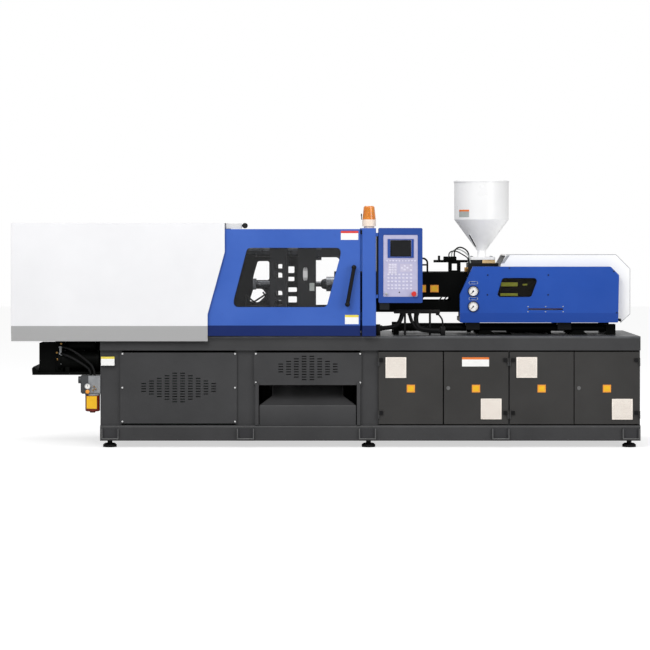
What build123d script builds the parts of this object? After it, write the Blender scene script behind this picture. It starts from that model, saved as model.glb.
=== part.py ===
from build123d import *
import os

# Injection moulding machine. +X runs from the clamp end to the injection end, +Y away from the operator.
# Origin on the floor below the middle of the machine. Millimetres.

# Base
base_left = -1656
base_right = 2300
base_half_depth = 500
base_bottom = 50
lower_beam_top = 163
upper_beam_bottom = 711
deck_bottom = 800
deck_top = 814
beam_width = 90
post_half_depth = 470
sheet = 2
floor_sheet = 6
ledge_chamfer = 10
post_spans = [(-1656, -1500), (-665, -520), (248, 380), (1331, 1346), (2290, 2300)]

# Front and rear panels of the base
panel_depth = 20
panel_face = 490
panel_top = 700
vent_panel = (-1509, -655, 176, 694)
mid_panel = (-529, 258, 457, 694)
slot_size = (35, 7)
slot_pitch = (57, 19)
screw_radius = 9
screw_places = [(x, z) for x in (-1493, -668) for z in (686, 438, 190)]
screw_places += [(x, z) for x in (-516, 248) for z in (686, 475)]

# Product chute
chute_left = -420
chute_right = 125
chute_mouth_height = 308
chute_back_height = 640
chute_back_depth = 260
chute_wall_height = 60
chute_plate = 3

# Doors of the cabinet: left, right, hinge side, grille centre
door_edges = [(382, 853, "left"), (862, 1333, "right"), (1344, 1811, "left"), (1818, 2294, "right")]
grille_centres = [(509.5, 585), (1207, 282), (1467.7, 586), (2167, 280)]
grille_size = 148
door_bottom = 171
hinge_heights = (626, 240)
hinge_length = 58
hinge_radius = 6
hinge_pin_radius = 3
running_gap = 0.1
hinge_axis_inset = 1.5
hinge_axis_proud = 8
lock_places = [(893, 435), (1850, 435)]
lock_radius = 14
cam_reach = 42

# Feet and lifting brackets
bracket_places = [-1581, -591, 301, 1276, 2229]
bracket_width = 124
bracket_bottom = 62
bracket_top = 139
foot_places = [-1590, 310, 2225]
foot_pad_radius = 50
foot_inset = 430

# Clamp unit
clamp_height = 1185
platen_half_width = 310
platen_half_height = 345
tie_bar_offset = 245
tie_bar_radius = 35
tie_head_radius = 62
tie_head_length = 42
tie_bar_left = -1605
fixed_platen_left = -210
fixed_platen_right = -78
moving_platen_thickness = 130
tail_platen_thickness = 130
mould_gap = 80
locating_radius = 62.5
nozzle_cone_radius = 110
mould_bolt_spacing = (280, 420)
mould_bolt_radius = 8
mould_bolt_depth = 32
slide_gap = 0.3

# Toggle mechanism. Front and rear links have equal lengths.
link_length = 270
pivot_offset = 290
pivot_reach = 120
elbow_radius = 40
link_pin_radius = 20
link_waist = 54
front_link_half = 45
rear_plate = (50, 85)
cross_plate = (90, 115)
crosshead_arm = (120, 150)
ear_along = 180
ear_offset = 85
ear_radius = 28
cross_pin_radius = 14
crosshead_pin_height = 125
crosshead_lead = 15
crosshead_half_height = 45
crosshead_half_width = 200
crosshead_half_thick = 30
guide_offset = 170
guide_radius = 20
rod_radius = 30
piston_radius = 55
cylinder_wall = 16
cylinder_length = 450
nut_radius = 78
nut_length = 55

# Worked out from the clamp sizes
moving_platen_right = fixed_platen_left - mould_gap
moving_platen_left = moving_platen_right - moving_platen_thickness
moving_pivot = moving_platen_left - pivot_reach
tail_pivot = moving_pivot - 2 * link_length
tail_platen_right = tail_pivot - pivot_reach
tail_platen_left = tail_platen_right - tail_platen_thickness
crosshead_x = tail_pivot + ear_along + crosshead_lead

os.makedirs("parts", exist_ok=True)


def save(builder, label):
    builder.part.label = label
    export_step(builder.part, "parts/" + label + ".step")


def block(x0, x1, y0, y1, z0, z1, mode=Mode.ADD):
    with Locations(((x0 + x1) / 2, (y0 + y1) / 2, (z0 + z1) / 2)):
        Box(x1 - x0, y1 - y0, z1 - z0, mode=mode)


def drum_x(x0, x1, y, z, radius, mode=Mode.ADD):
    with Locations(((x0 + x1) / 2, y, z)):
        Cylinder(radius, x1 - x0, rotation=(0, 90, 0), mode=mode)


def drum_y(y0, y1, x, z, radius, mode=Mode.ADD):
    with Locations((x, (y0 + y1) / 2, z)):
        Cylinder(radius, y1 - y0, rotation=(90, 0, 0), mode=mode)


def drum_z(z0, z1, x, y, radius, mode=Mode.ADD):
    with Locations((x, y, (z0 + z1) / 2)):
        Cylinder(radius, z1 - z0, mode=mode)


def front_plane(y):
    return Plane(origin=(0, y, 0), x_dir=(1, 0, 0), z_dir=(0, -1, 0))


# Base frame: beams, posts and floor sheet, welded
with BuildPart() as base_frame:
    for bottom, top in ((base_bottom, lower_beam_top), (upper_beam_bottom, deck_bottom)):
        with BuildSketch(Plane.XY.offset(bottom)):
            with Locations(((base_left + base_right) / 2, 0)):
                Rectangle(base_right - base_left, 2 * base_half_depth)
                Rectangle(base_right - base_left - 2 * beam_width, 2 * (base_half_depth - beam_width),
                          mode=Mode.SUBTRACT)
        extrude(amount=top - bottom)
    ledges = base_frame.edges().filter_by(Axis.X).filter_by_position(Axis.Z, lower_beam_top - 1, lower_beam_top + 1)
    chamfer(ledges.group_by(SortBy.LENGTH)[-1], ledge_chamfer)
    with BuildSketch(Plane.XY.offset(base_bottom)):
        with Locations(((base_left + base_right) / 2, 0)):
            Rectangle(base_right - base_left - 2, 2 * base_half_depth - 2)
    extrude(amount=floor_sheet)
    with BuildSketch(Plane.XY.offset(lower_beam_top)):
        for left, right in post_spans:
            for side in (-1, 1):
                with Locations(((left + right) / 2, side * (post_half_depth - beam_width / 2))):
                    Rectangle(right - left, beam_width)
    extrude(amount=upper_beam_bottom - lower_beam_top)
    for x in (fixed_platen_left - 40, fixed_platen_right + 10):
        block(x, x + 30, -base_half_depth + beam_width, base_half_depth - beam_width, upper_beam_bottom, deck_bottom)
    for x in (base_left + 8, base_right - 10):
        block(x, x + sheet, beam_width - post_half_depth, post_half_depth - beam_width, lower_beam_top,
              upper_beam_bottom)
    for left, right, side_name in door_edges:
        axis_x = left + hinge_axis_inset if side_name == "left" else right - hinge_axis_inset
        for height in hinge_heights:
            low = height - hinge_length / 2
            middle = height
            axis_y = -panel_face - hinge_axis_proud
            bracket_x = left - 3 if side_name == "left" else right + 3
            block(bracket_x - 2, bracket_x + 2, axis_y, -post_half_depth + 2, low, middle - 1)
            drum_z(low, middle - 1, axis_x, axis_y, hinge_radius)
            drum_z(low, height + hinge_length / 2, axis_x, axis_y, hinge_pin_radius)
save(base_frame, "base_frame")

# Deck plate with the opening that drops parts into the chute
deck_opening = (-480, -216, -230, 230)
with BuildPart() as deck:
    with BuildSketch(Plane.XY.offset(deck_bottom)):
        with Locations(((base_left + base_right) / 2, 0)):
            Rectangle(base_right - base_left, 2 * base_half_depth)
        with Locations(((deck_opening[0] + deck_opening[1]) / 2, 0)):
            Rectangle(deck_opening[1] - deck_opening[0], deck_opening[3] - deck_opening[2], mode=Mode.SUBTRACT)
    extrude(amount=deck_top - deck_bottom)
    chamfer(deck.edges().filter_by(Axis.X).group_by(Axis.Z)[-1].group_by(SortBy.LENGTH)[-1], 3)
save(deck, "deck")


# A diamond of louvre slots: counts of rows from left to right
def louvre_places(centre_x, centre_z, counts):
    places = []
    for column, rows in enumerate(counts):
        x = centre_x + (column - (len(counts) - 1) / 2) * slot_pitch[0]
        for row in range(rows):
            places.append((x, centre_z + (row - (rows - 1) / 2) * slot_pitch[1]))
    return places


def tray(left, right, bottom, top, face, depth):
    centre = ((left + right) / 2, (bottom + top) / 2)
    with BuildSketch(front_plane(face)) as outline:
        with Locations(centre):
            Rectangle(right - left, top - bottom)
    extrude(outline.sketch, amount=-depth)
    with BuildSketch(front_plane(face + sheet)) as hollow:
        with Locations(centre):
            Rectangle(right - left - 2 * sheet, top - bottom - 2 * sheet)
    extrude(hollow.sketch, amount=-depth, mode=Mode.SUBTRACT)


# Front panels of the base: folded trays with diamonds of pressed slots
with BuildPart() as front_panels:
    tray(*vent_panel, -panel_face, panel_depth)
    tray(*mid_panel, -panel_face, panel_depth)
    with BuildSketch(front_plane(-panel_face)):
        with Locations(*louvre_places(-1081, 439, (4, 6, 8, 10, 12, 12, 10, 8, 6, 4))):
            Rectangle(*slot_size)
        with Locations(*louvre_places(-134, 582, (4, 6, 8, 10, 10, 8, 6, 4))):
            Rectangle(*slot_size)
    extrude(amount=-sheet, mode=Mode.SUBTRACT)
    for x, z in screw_places:
        drum_y(-panel_face - 4, -panel_face, x, z, screw_radius)
save(front_panels, "front_panels")

# Product chute: sloping tray with side walls and a front plate below the mouth
chute_front = -panel_face
with BuildPart() as product_chute:
    with BuildSketch(Plane.YZ.offset(chute_left)):
        with BuildLine():
            Polyline((chute_front, lower_beam_top), (chute_front + chute_plate, lower_beam_top),
                     (chute_front + chute_plate, chute_mouth_height - chute_plate),
                     (chute_back_depth, chute_back_height - chute_plate), (chute_back_depth, chute_back_height),
                     (chute_front, chute_mouth_height), close=True)
        make_face()
    extrude(amount=chute_right - chute_left)
    for x in (chute_left, chute_right - chute_plate):
        with BuildSketch(Plane.YZ.offset(x)):
            with BuildLine():
                Polyline((chute_front, chute_mouth_height - chute_plate),
                         (chute_back_depth, chute_back_height - chute_plate),
                         (chute_back_depth, chute_back_height + chute_wall_height),
                         (chute_front, chute_mouth_height + chute_wall_height), close=True)
            make_face()
        extrude(amount=chute_plate)
save(product_chute, "product_chute")

# U brackets for the lifting slings, folded and bolted to the lower beam, on both sides
with BuildPart() as lifting_brackets:
    for side in (-1, 1):
        for x in bracket_places:
            face = side * (base_half_depth + 1)
            with BuildSketch(Plane.XY.offset(bracket_bottom)):
                with Locations((x, face + side * 10)):
                    Rectangle(bracket_width, 22)
                with Locations((x, face + side * 14)):
                    Rectangle(bracket_width - 24, 16, mode=Mode.SUBTRACT)
            extrude(amount=bracket_top - bracket_bottom)
save(lifting_brackets, "lifting_brackets")

# Levelling feet: rubber pad with a threaded stud and nut
with BuildPart() as levelling_feet:
    for x in foot_places:
        for y in (-foot_inset, foot_inset):
            with BuildSketch(Plane(origin=(x, y, 0), x_dir=(1, 0, 0), z_dir=(0, -1, 0))):
                with BuildLine():
                    Polyline((0, 0), (foot_pad_radius, 0), (foot_pad_radius, 18), (foot_pad_radius - 14, 28),
                             (18, 30), (18, base_bottom), (0, base_bottom), close=True)
                make_face()
            revolve(axis=Axis(origin=(x, y, 0), direction=(0, 0, 1)))
save(levelling_feet, "levelling_feet")

# Rear panels: lift-off trays with a row of slots near the top
rear_spans = [(-1509, -655), (-529, 248), (382, 853), (862, 1333), (1344, 1811), (1818, 2294)]
with BuildPart() as rear_panels:
    for left, right in rear_spans:
        with BuildSketch(Plane.XZ.offset(-panel_face)):
            with Locations(((left + right) / 2, (lower_beam_top + panel_top) / 2)):
                Rectangle(right - left, panel_top - lower_beam_top)
        extrude(amount=panel_depth)
        with BuildSketch(Plane.XZ.offset(-panel_face + sheet)):
            with Locations(((left + right) / 2, (lower_beam_top + panel_top) / 2)):
                Rectangle(right - left - 2 * sheet, panel_top - lower_beam_top - 2 * sheet)
        extrude(amount=panel_depth, mode=Mode.SUBTRACT)
        with BuildSketch(Plane.XZ.offset(-panel_face)):
            with Locations(((left + right) / 2, 600)):
                with GridLocations(slot_pitch[0], slot_pitch[1], 6, 3):
                    Rectangle(*slot_size)
        extrude(amount=sheet, mode=Mode.SUBTRACT)
save(rear_panels, "rear_panels")

# Hydraulic power pack in the left bay: oil tank, pump and electric motor
tank = (-1540, -700, -380, 380, 56, 300)
motor_height = 300 + 150
with BuildPart() as power_pack:
    block(*tank)
    fillet(power_pack.edges().filter_by(Axis.Z), 20)
    block(-1400, -1060, -90, 90, tank[5], tank[5] + 30)
    drum_x(-1420, -1040, 0, motor_height, 120)
    drum_x(-1040, -960, 0, motor_height, 90)
    drum_x(-960, -860, 0, motor_height, 60)
    block(-1290, -1170, -60, 60, motor_height + 100, motor_height + 180)
save(power_pack, "power_pack")

# Electrical mounting plate with switchgear, behind the doors
with BuildPart() as electrical_plate:
    block(430, 2200, 60, 64, base_bottom + floor_sheet, 690)
    for x in (520, 760, 1000, 1480, 1720, 1960):
        block(x, x + 150, -40, 60, 430, 610)
        block(x, x + 150, 0, 60, 230, 330)
save(electrical_plate, "electrical_plate")

# Cabinet doors: folded trays with a louvred filter grille, hinge leaves and, on two of them, a lock hole
for number, (left, right, side_name) in enumerate(door_edges, start=1):
    grille_x, grille_z = grille_centres[number - 1]
    axis_x = left + hinge_axis_inset if side_name == "left" else right - hinge_axis_inset
    leaf_sign = 1 if side_name == "left" else -1
    with BuildPart() as door:
        tray(left, right, door_bottom, panel_top, -panel_face, panel_depth)
        with BuildSketch(front_plane(-panel_face)):
            with Locations((grille_x, grille_z)):
                Rectangle(grille_size, grille_size)
        extrude(amount=6)
        with BuildSketch(front_plane(-panel_face - 6)):
            with Locations((grille_x, grille_z)):
                with GridLocations(0, 17, 1, 7):
                    Rectangle(grille_size - 34, 9)
        extrude(amount=-6 - sheet, mode=Mode.SUBTRACT)
        for height in hinge_heights:
            knuckle_top = height + hinge_length / 2
            axis_y = -panel_face - hinge_axis_proud
            drum_z(height, knuckle_top, axis_x, axis_y, hinge_radius)
            x_end = axis_x + leaf_sign * 34
            block(min(axis_x, x_end), max(axis_x, x_end), axis_y, -panel_face, height, knuckle_top)
            drum_z(height - 1, knuckle_top + 1, axis_x, axis_y, hinge_pin_radius + running_gap, Mode.SUBTRACT)
        for lock_x, lock_z in lock_places:
            if left < lock_x < right:
                drum_y(-panel_face - 1, -panel_face + sheet + 1, lock_x, lock_z, 9 + running_gap, Mode.SUBTRACT)
    save(door, "door_" + str(number))

# Quarter-turn locks: head, barrel and cam that reaches behind the next door
for name, (lock_x, lock_z) in zip(("left_door_lock", "right_door_lock"), lock_places):
    with BuildPart() as lock:
        drum_y(-panel_face - 5, -panel_face - slide_gap, lock_x, lock_z, lock_radius)
        drum_y(-panel_face - 1, -post_half_depth + 8, lock_x, lock_z, 9)
        block(lock_x - 8, lock_x + 8, -post_half_depth + 3, -post_half_depth + 7, lock_z - 9, lock_z + cam_reach)
    save(lock, name)

# Tie bars with their heads on the back of the fixed platen
with BuildPart() as tie_bars:
    for y in (-tie_bar_offset, tie_bar_offset):
        for z in (clamp_height - tie_bar_offset, clamp_height + tie_bar_offset):
            drum_x(tie_bar_left, fixed_platen_right, y, z, tie_bar_radius)
            drum_x(fixed_platen_right, fixed_platen_right + tie_head_length, y, z, tie_head_radius)
save(tie_bars, "tie_bars")

tie_places = [(y, clamp_height + z) for y in (-tie_bar_offset, tie_bar_offset)
              for z in (-tie_bar_offset, tie_bar_offset)]


def platen_plate(left, right, bore_radius):
    with BuildSketch(Plane.YZ.offset(left)) as outline:
        with Locations((0, clamp_height)):
            RectangleRounded(2 * platen_half_width, 2 * platen_half_height, 30)
        with Locations(*tie_places):
            Circle(bore_radius, mode=Mode.SUBTRACT)
    extrude(outline.sketch, amount=right - left)


# Fixed platen: locating bore for the mould, cone for the nozzle, tapped holes, feet on the deck
with BuildPart() as fixed_platen:
    platen_plate(fixed_platen_left, fixed_platen_right, tie_bar_radius + running_gap / 2)
    for side in (-1, 1):
        block(fixed_platen_left + 8, fixed_platen_right - 8, side * 210 - 60, side * 210 + 60,
              deck_top, clamp_height - platen_half_height + 30)
    drum_x(fixed_platen_left - 1, fixed_platen_right + 1, 0, clamp_height, locating_radius, Mode.SUBTRACT)
    with BuildSketch(Plane.YZ.offset(fixed_platen_right)):
        with Locations((0, clamp_height)):
            Circle(nozzle_cone_radius)
    extrude(amount=-60, taper=28, mode=Mode.SUBTRACT)
    with Locations(Plane(origin=(fixed_platen_left, 0, clamp_height), x_dir=(0, 1, 0), z_dir=(-1, 0, 0))):
        with GridLocations(mould_bolt_spacing[0], mould_bolt_spacing[1], 2, 2):
            Hole(mould_bolt_radius, depth=mould_bolt_depth)
        with GridLocations(mould_bolt_spacing[1], mould_bolt_spacing[0], 2, 2):
            Hole(mould_bolt_radius, depth=mould_bolt_depth)
save(fixed_platen, "fixed_platen")


def lug(x_plate, x_pivot, y0, y1, z_pivot):
    half = elbow_radius + 8
    foot = half + 14
    with BuildSketch(Plane.XZ.offset(-y1)) as outline:
        with BuildLine():
            Polyline((x_plate, z_pivot - foot), (x_pivot, z_pivot - half), (x_pivot, z_pivot + half),
                     (x_plate, z_pivot + foot), close=True)
        make_face()
        with Locations((x_pivot, z_pivot)):
            Circle(half)
    extrude(outline.sketch, amount=y1 - y0)


# Tail platen: lugs and pins for the rear links, bores for the rod and the crosshead guides
with BuildPart() as tail_platen:
    platen_plate(tail_platen_left, tail_platen_right, tie_bar_radius + running_gap / 2)
    for side in (-1, 1):
        z = clamp_height + side * pivot_offset
        lug(tail_platen_right, tail_pivot, -front_link_half, front_link_half, z)
        for sign in (-1, 1):
            low, high = sorted((sign * (rear_plate[1] + 5), sign * (rear_plate[1] + 40)))
            lug(tail_platen_right, tail_pivot, low, high, z)
        drum_y(-rear_plate[1] - 46, rear_plate[1] + 46, tail_pivot, z, link_pin_radius)
        block(tail_platen_left + 8, tail_platen_right - 8, side * 210 - 60, side * 210 + 60,
              deck_top + slide_gap, clamp_height - platen_half_height + 30)
        drum_x(tail_platen_left, crosshead_x + crosshead_half_thick + 60, side * guide_offset, clamp_height,
               guide_radius)
    drum_x(tail_platen_left - 1, tail_platen_right + 1, 0, clamp_height, rod_radius + 6, Mode.SUBTRACT)
save(tail_platen, "tail_platen")

# Adjusting nuts of the tail platen with gear rims
with BuildPart() as adjusting_nuts:
    with BuildSketch(Plane.YZ.offset(tail_platen_left)):
        with Locations(*tie_places):
            RegularPolygon(nut_radius, 24)
            Circle(tie_bar_radius + running_gap / 2, mode=Mode.SUBTRACT)
    extrude(amount=-nut_length)
save(adjusting_nuts, "adjusting_nuts")

# Moving platen: cored through from side to side between its walls, lugs with pin stubs for the front links,
# ejector bore, shoes on the deck
core_width = 52
core_height = 48
core_x = moving_platen_left + 68
core_heights = [1048, 1118, 1252, 1322]
with BuildPart() as moving_platen:
    platen_plate(moving_platen_left, moving_platen_right, tie_bar_radius + running_gap / 2)
    with BuildSketch(Plane.XZ):
        with Locations(*[(core_x, z) for z in core_heights]):
            RectangleRounded(core_width, core_height, 12)
    extrude(amount=platen_half_width + 1, both=True, mode=Mode.SUBTRACT)
    for side in (-1, 1):
        z = clamp_height + side * pivot_offset
        for sign in (-1, 1):
            low, high = sorted((sign * (front_link_half + 5), sign * (front_link_half + 45)))
            lug(moving_platen_left, moving_pivot, low, high, z)
            low, high = sorted((sign * (front_link_half + 1), sign * (front_link_half + 51)))
            drum_y(low, high, moving_pivot, z, link_pin_radius)
        block(moving_platen_left + 8, moving_platen_right - 8, side * 210 - 60, side * 210 + 60,
              deck_top + slide_gap, clamp_height - platen_half_height + 30)
    drum_x(moving_platen_left - 1, moving_platen_right + 1, 0, clamp_height, 24, Mode.SUBTRACT)
    with Locations(Plane(origin=(moving_platen_right, 0, clamp_height), x_dir=(0, 1, 0), z_dir=(1, 0, 0))):
        with GridLocations(mould_bolt_spacing[0], mould_bolt_spacing[1], 2, 2):
            Hole(mould_bolt_radius, depth=mould_bolt_depth)
        with GridLocations(mould_bolt_spacing[1], mould_bolt_spacing[0], 2, 2):
            Hole(mould_bolt_radius, depth=mould_bolt_depth)
save(moving_platen, "moving_platen")


def link_profile(x0, x1, z, end_radius, waist):
    with Locations((x0, z), (x1, z)):
        Circle(end_radius)
    with Locations(((x0 + x1) / 2, z)):
        Rectangle(x1 - x0, waist)


# Rear links: two plates with an inward ear, joined by the elbow pin
elbow_x = tail_pivot + link_length
for side, place in ((1, "upper"), (-1, "lower")):
    z = clamp_height + side * pivot_offset
    ear_z = z - side * ear_offset
    ear_x = tail_pivot + ear_along
    with BuildPart() as rear_link:
        for sign in (-1, 1):
            low, high = sorted((sign * rear_plate[0], sign * rear_plate[1]))
            with BuildSketch(Plane.XZ.offset(-high)):
                link_profile(tail_pivot, elbow_x, z, elbow_radius, link_waist)
                with BuildLine():
                    Polyline((ear_x - 46, z), (ear_x - ear_radius, ear_z), (ear_x + ear_radius, ear_z),
                             (ear_x + 46, z), close=True)
                make_face()
                with Locations((ear_x, ear_z)):
                    Circle(ear_radius)
                with Locations((tail_pivot, z)):
                    Circle(link_pin_radius + running_gap, mode=Mode.SUBTRACT)
            extrude(amount=high - low)
            low, high = sorted((sign * rear_plate[0], sign * (rear_plate[1] + 3)))
            drum_y(low, high, ear_x, ear_z, cross_pin_radius)
        drum_y(-rear_plate[1] - 3, rear_plate[1] + 3, elbow_x, z, link_pin_radius)
    save(rear_link, "rear_link_" + place)

    # Front link: one broad forging between the rear link's plates
    with BuildPart() as front_link:
        with BuildSketch(Plane.XZ.offset(-front_link_half)):
            link_profile(elbow_x, moving_pivot, z, elbow_radius, link_waist)
            with Locations((elbow_x, z)):
                Circle(link_pin_radius + running_gap, mode=Mode.SUBTRACT)
            with Locations((moving_pivot, z)):
                Circle(link_pin_radius + 1, mode=Mode.SUBTRACT)
        extrude(amount=2 * front_link_half)
        with BuildSketch(Plane.XZ.offset(-front_link_half)):
            with Locations(((elbow_x + moving_pivot) / 2, z)):
                SlotOverall(link_length - 2 * elbow_radius - 20, link_waist - 26)
        extrude(amount=12, mode=Mode.SUBTRACT)
        with BuildSketch(Plane.XZ.offset(front_link_half)):
            with Locations(((elbow_x + moving_pivot) / 2, z)):
                SlotOverall(link_length - 2 * elbow_radius - 20, link_waist - 26)
        extrude(amount=-12, mode=Mode.SUBTRACT)
    save(front_link, "front_link_" + place)

    # Cross links from the crosshead arms to the ears of the rear link
    pin_z = clamp_height + side * crosshead_pin_height
    reach = ((crosshead_x - ear_x) ** 2 + (ear_z - pin_z) ** 2) ** 0.5
    with BuildPart() as cross_link:
        for sign in (-1, 1):
            low, high = sorted((sign * cross_plate[0], sign * cross_plate[1]))
            with BuildSketch(Plane.XZ.offset(-high)):
                with Locations((crosshead_x, pin_z), (ear_x, ear_z)):
                    Circle(ear_radius - 2)
                with BuildLine():
                    Polyline((crosshead_x - 20, pin_z), (ear_x - 20, ear_z), (ear_x + 20, ear_z),
                             (crosshead_x + 20, pin_z), close=True)
                make_face()
                with Locations((ear_x, ear_z)):
                    Circle(cross_pin_radius + 1, mode=Mode.SUBTRACT)
                with Locations((crosshead_x, pin_z)):
                    Circle(cross_pin_radius + running_gap, mode=Mode.SUBTRACT)
            extrude(amount=high - low)
    save(cross_link, "cross_link_" + place)

# Crosshead: guided block with arms that carry the cross-link pins, and the piston rod screwed into it
rod_left = tail_platen_left - 40
with BuildPart() as crosshead:
    block(crosshead_x - crosshead_half_thick, crosshead_x + crosshead_half_thick,
          -crosshead_half_width, crosshead_half_width,
          clamp_height - crosshead_half_height, clamp_height + crosshead_half_height)
    for sign in (-1, 1):
        low, high = sorted((sign * crosshead_arm[0], sign * crosshead_arm[1]))
        with BuildSketch(Plane.XZ.offset(-high)):
            for side in (-1, 1):
                pin_z = clamp_height + side * crosshead_pin_height
                with Locations((crosshead_x, pin_z)):
                    Circle(ear_radius)
            with Locations((crosshead_x, clamp_height)):
                Rectangle(2 * ear_radius, 2 * crosshead_pin_height)
        extrude(amount=high - low)
        drum_x(crosshead_x - crosshead_half_thick - 1, crosshead_x + crosshead_half_thick + 1,
               sign * guide_offset, clamp_height, guide_radius + running_gap, Mode.SUBTRACT)
        for side in (-1, 1):
            low, high = sorted((sign * cross_plate[0], sign * (crosshead_arm[1] + 4)))
            drum_y(low, high, crosshead_x, clamp_height + side * crosshead_pin_height, cross_pin_radius)
    drum_x(rod_left, crosshead_x - crosshead_half_thick, 0, clamp_height, rod_radius)
    drum_x(rod_left - 30, rod_left, 0, clamp_height, piston_radius)
save(crosshead, "crosshead")

# Clamp cylinder on the back of the tail platen
cylinder_left = tail_platen_left - cylinder_length
with BuildPart() as clamp_cylinder:
    drum_x(cylinder_left, tail_platen_left, 0, clamp_height, piston_radius + cylinder_wall)
    drum_x(cylinder_left + 30, tail_platen_left - 30, 0, clamp_height, piston_radius + running_gap, Mode.SUBTRACT)
    drum_x(tail_platen_left - 31, tail_platen_left + 1, 0, clamp_height, rod_radius + running_gap, Mode.SUBTRACT)
    block(tail_platen_left - 26, tail_platen_left, -95, 95, clamp_height - 95, clamp_height + 95, Mode.ADD)
    drum_x(tail_platen_left - 31, tail_platen_left + 1, 0, clamp_height, rod_radius + running_gap, Mode.SUBTRACT)
    drum_x(cylinder_left - 20, cylinder_left, 0, clamp_height, piston_radius + cylinder_wall + 8)
save(clamp_cylinder, "clamp_cylinder")

# Ejector: plate with two small cylinders' rods and the central ejector rod through the platen
ejector_left = moving_platen_left - 130
with BuildPart() as ejector:
    block(ejector_left, ejector_left + 22, -100, 100, clamp_height - 40, clamp_height + 40)
    drum_x(ejector_left + 22, moving_platen_right - 20, 0, clamp_height, 24 - running_gap)
save(ejector, "ejector")

# Clamp cover, a hood of folded sheet: open below and to the right, with its lower lip bent inwards
cover_left = -2300
cover_top = 1643
cover_half_depth = 560
cover_bottom = 780
lip_top = 893
lip_inset = 18
cover_edge = [(-741, 1643), (-741, 1431), (-866, 977), (-866, 780)]


def cover_body(inset, bottom, left):
    with BuildSketch(Plane.XY.offset(lip_top)) as upper:
        with Locations(((left + inset - 600) / 2, 0)):
            Rectangle(-600 - left - inset, 2 * (cover_half_depth - inset))
    extrude(upper.sketch, amount=cover_top - inset - lip_top)
    with BuildSketch(Plane.YZ.offset(left + inset)) as lower:
        with BuildLine():
            half = cover_half_depth - inset
            Polyline((-half, lip_top), (half, lip_top), (half - lip_inset, bottom), (-half + lip_inset, bottom),
                     close=True)
        make_face()
    extrude(lower.sketch, amount=-600 - left - inset)


with BuildPart() as hollow:
    cover_body(sheet, cover_bottom - 1, cover_left)
with BuildPart() as clamp_cover:
    cover_body(0, cover_bottom, cover_left)
    fillet(clamp_cover.edges().filter_by(Axis.Z).group_by(Axis.X)[0], 4)
    add(hollow.part, mode=Mode.SUBTRACT)
    with BuildSketch(Plane.XZ.offset(cover_half_depth + 1)):
        with BuildLine():
            Polyline(*cover_edge, (-500, 780), (-500, 1700), (-741, 1700), close=True)
        make_face()
    extrude(amount=-2 * cover_half_depth - 2, mode=Mode.SUBTRACT)
    for side in (-1, 1):
        low, high = sorted((side * (cover_half_depth - 14), side * (base_half_depth - 12)))
        block(base_left + 116, base_left + 156, low, high, deck_top, deck_top + 4)
save(clamp_cover, "clamp_cover")

# Gate columns at the front and rear, joined by a portal beam over the barrel
column_left = 262
column_right = 363
column_top = 1606
column_front = 556
column_back = 456
portal_bottom = 1560
box_left = 381
box_right = 701
box_bottom = 1061
box_top = 1607
box_front = 572
box_back = 430
box_axis_x = 372
box_axis_y = -column_front
with BuildPart() as gate_column:
    for side in (-1, 1):
        low, high = sorted((side * column_front, side * column_back))
        block(column_left, column_right, low, high, deck_top + 5, column_top)
    block(column_left + 10, column_right - 10, -column_back, column_back, portal_bottom, column_top - 4)
    chamfer(gate_column.edges().filter_by(Axis.Z), 3)
    for side in (-1, 1):
        low, high = sorted((side * (base_half_depth - 1), side * column_back))
        block(column_left, column_right, low, high, deck_top, deck_top + 5)
    for z in (box_bottom + 35, box_top - 60 + slide_gap):
        drum_z(z, z + 25 - slide_gap, box_axis_x, box_axis_y, 8)
        block(column_right, box_axis_x, box_axis_y, box_axis_y + 12, z, z + 25 - slide_gap)
    drum_z(box_bottom + 35, box_top - 36, box_axis_x, box_axis_y, 4)
save(gate_column, "gate_column")

# Rails that carry the gates, at the top and on the deck, and the limit switch above the front gate
gate_left = -900
gate_right = 248
gate_bottom = 819
gate_top = 1599
gate_face = 538
gate_depth = 24
rail_left = -2200
rail_inner = 494
rail_bottom = 1562
rail_top = 1592
rail_outer = 508
with BuildPart() as gate_rails:
    for side in (-1, 1):
        low, high = sorted((side * rail_inner, side * rail_outer))
        block(rail_left, column_left, low, high, rail_bottom, rail_top)
        low, high = sorted((side * 484, side * 498))
        block(base_left + 206, column_left, low, high, deck_top, deck_top + 26)
        low, high = sorted((side * 470, side * rail_outer))
        for x in (base_left + 30, -900):
            block(x, x + 40, low, high, deck_top, rail_bottom)
    block(-900, -700, -482, -470, rail_bottom - 22, 1612)
    block(-734, -617, -524, -470, 1602, 1640)
    drum_y(-536, -512, -594, 1624, 20)
    block(-625, -590, -512, -rail_inner, 1616, 1632)
save(gate_rails, "gate_rails")

# Safety gates: folded panels with a window opening and a hand grip
window_radius = 32


window_sizes = {"front": (-577, 105, 1462, 1416, 2, -676, 1080, 1030),
                "rear": (-535, 105, 1380, 1334, 30, -600, 1060, 1011)}


def window_points(place, grow):
    top_left, right, top, right_low, bottom_right, left, left_low, bottom = window_sizes[place]
    return [(top_left - grow, top + grow), (right + grow, top + grow), (right + grow, right_low),
            (bottom_right + grow, bottom - grow), (left - grow, bottom - grow), (left - grow, left_low)]


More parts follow.
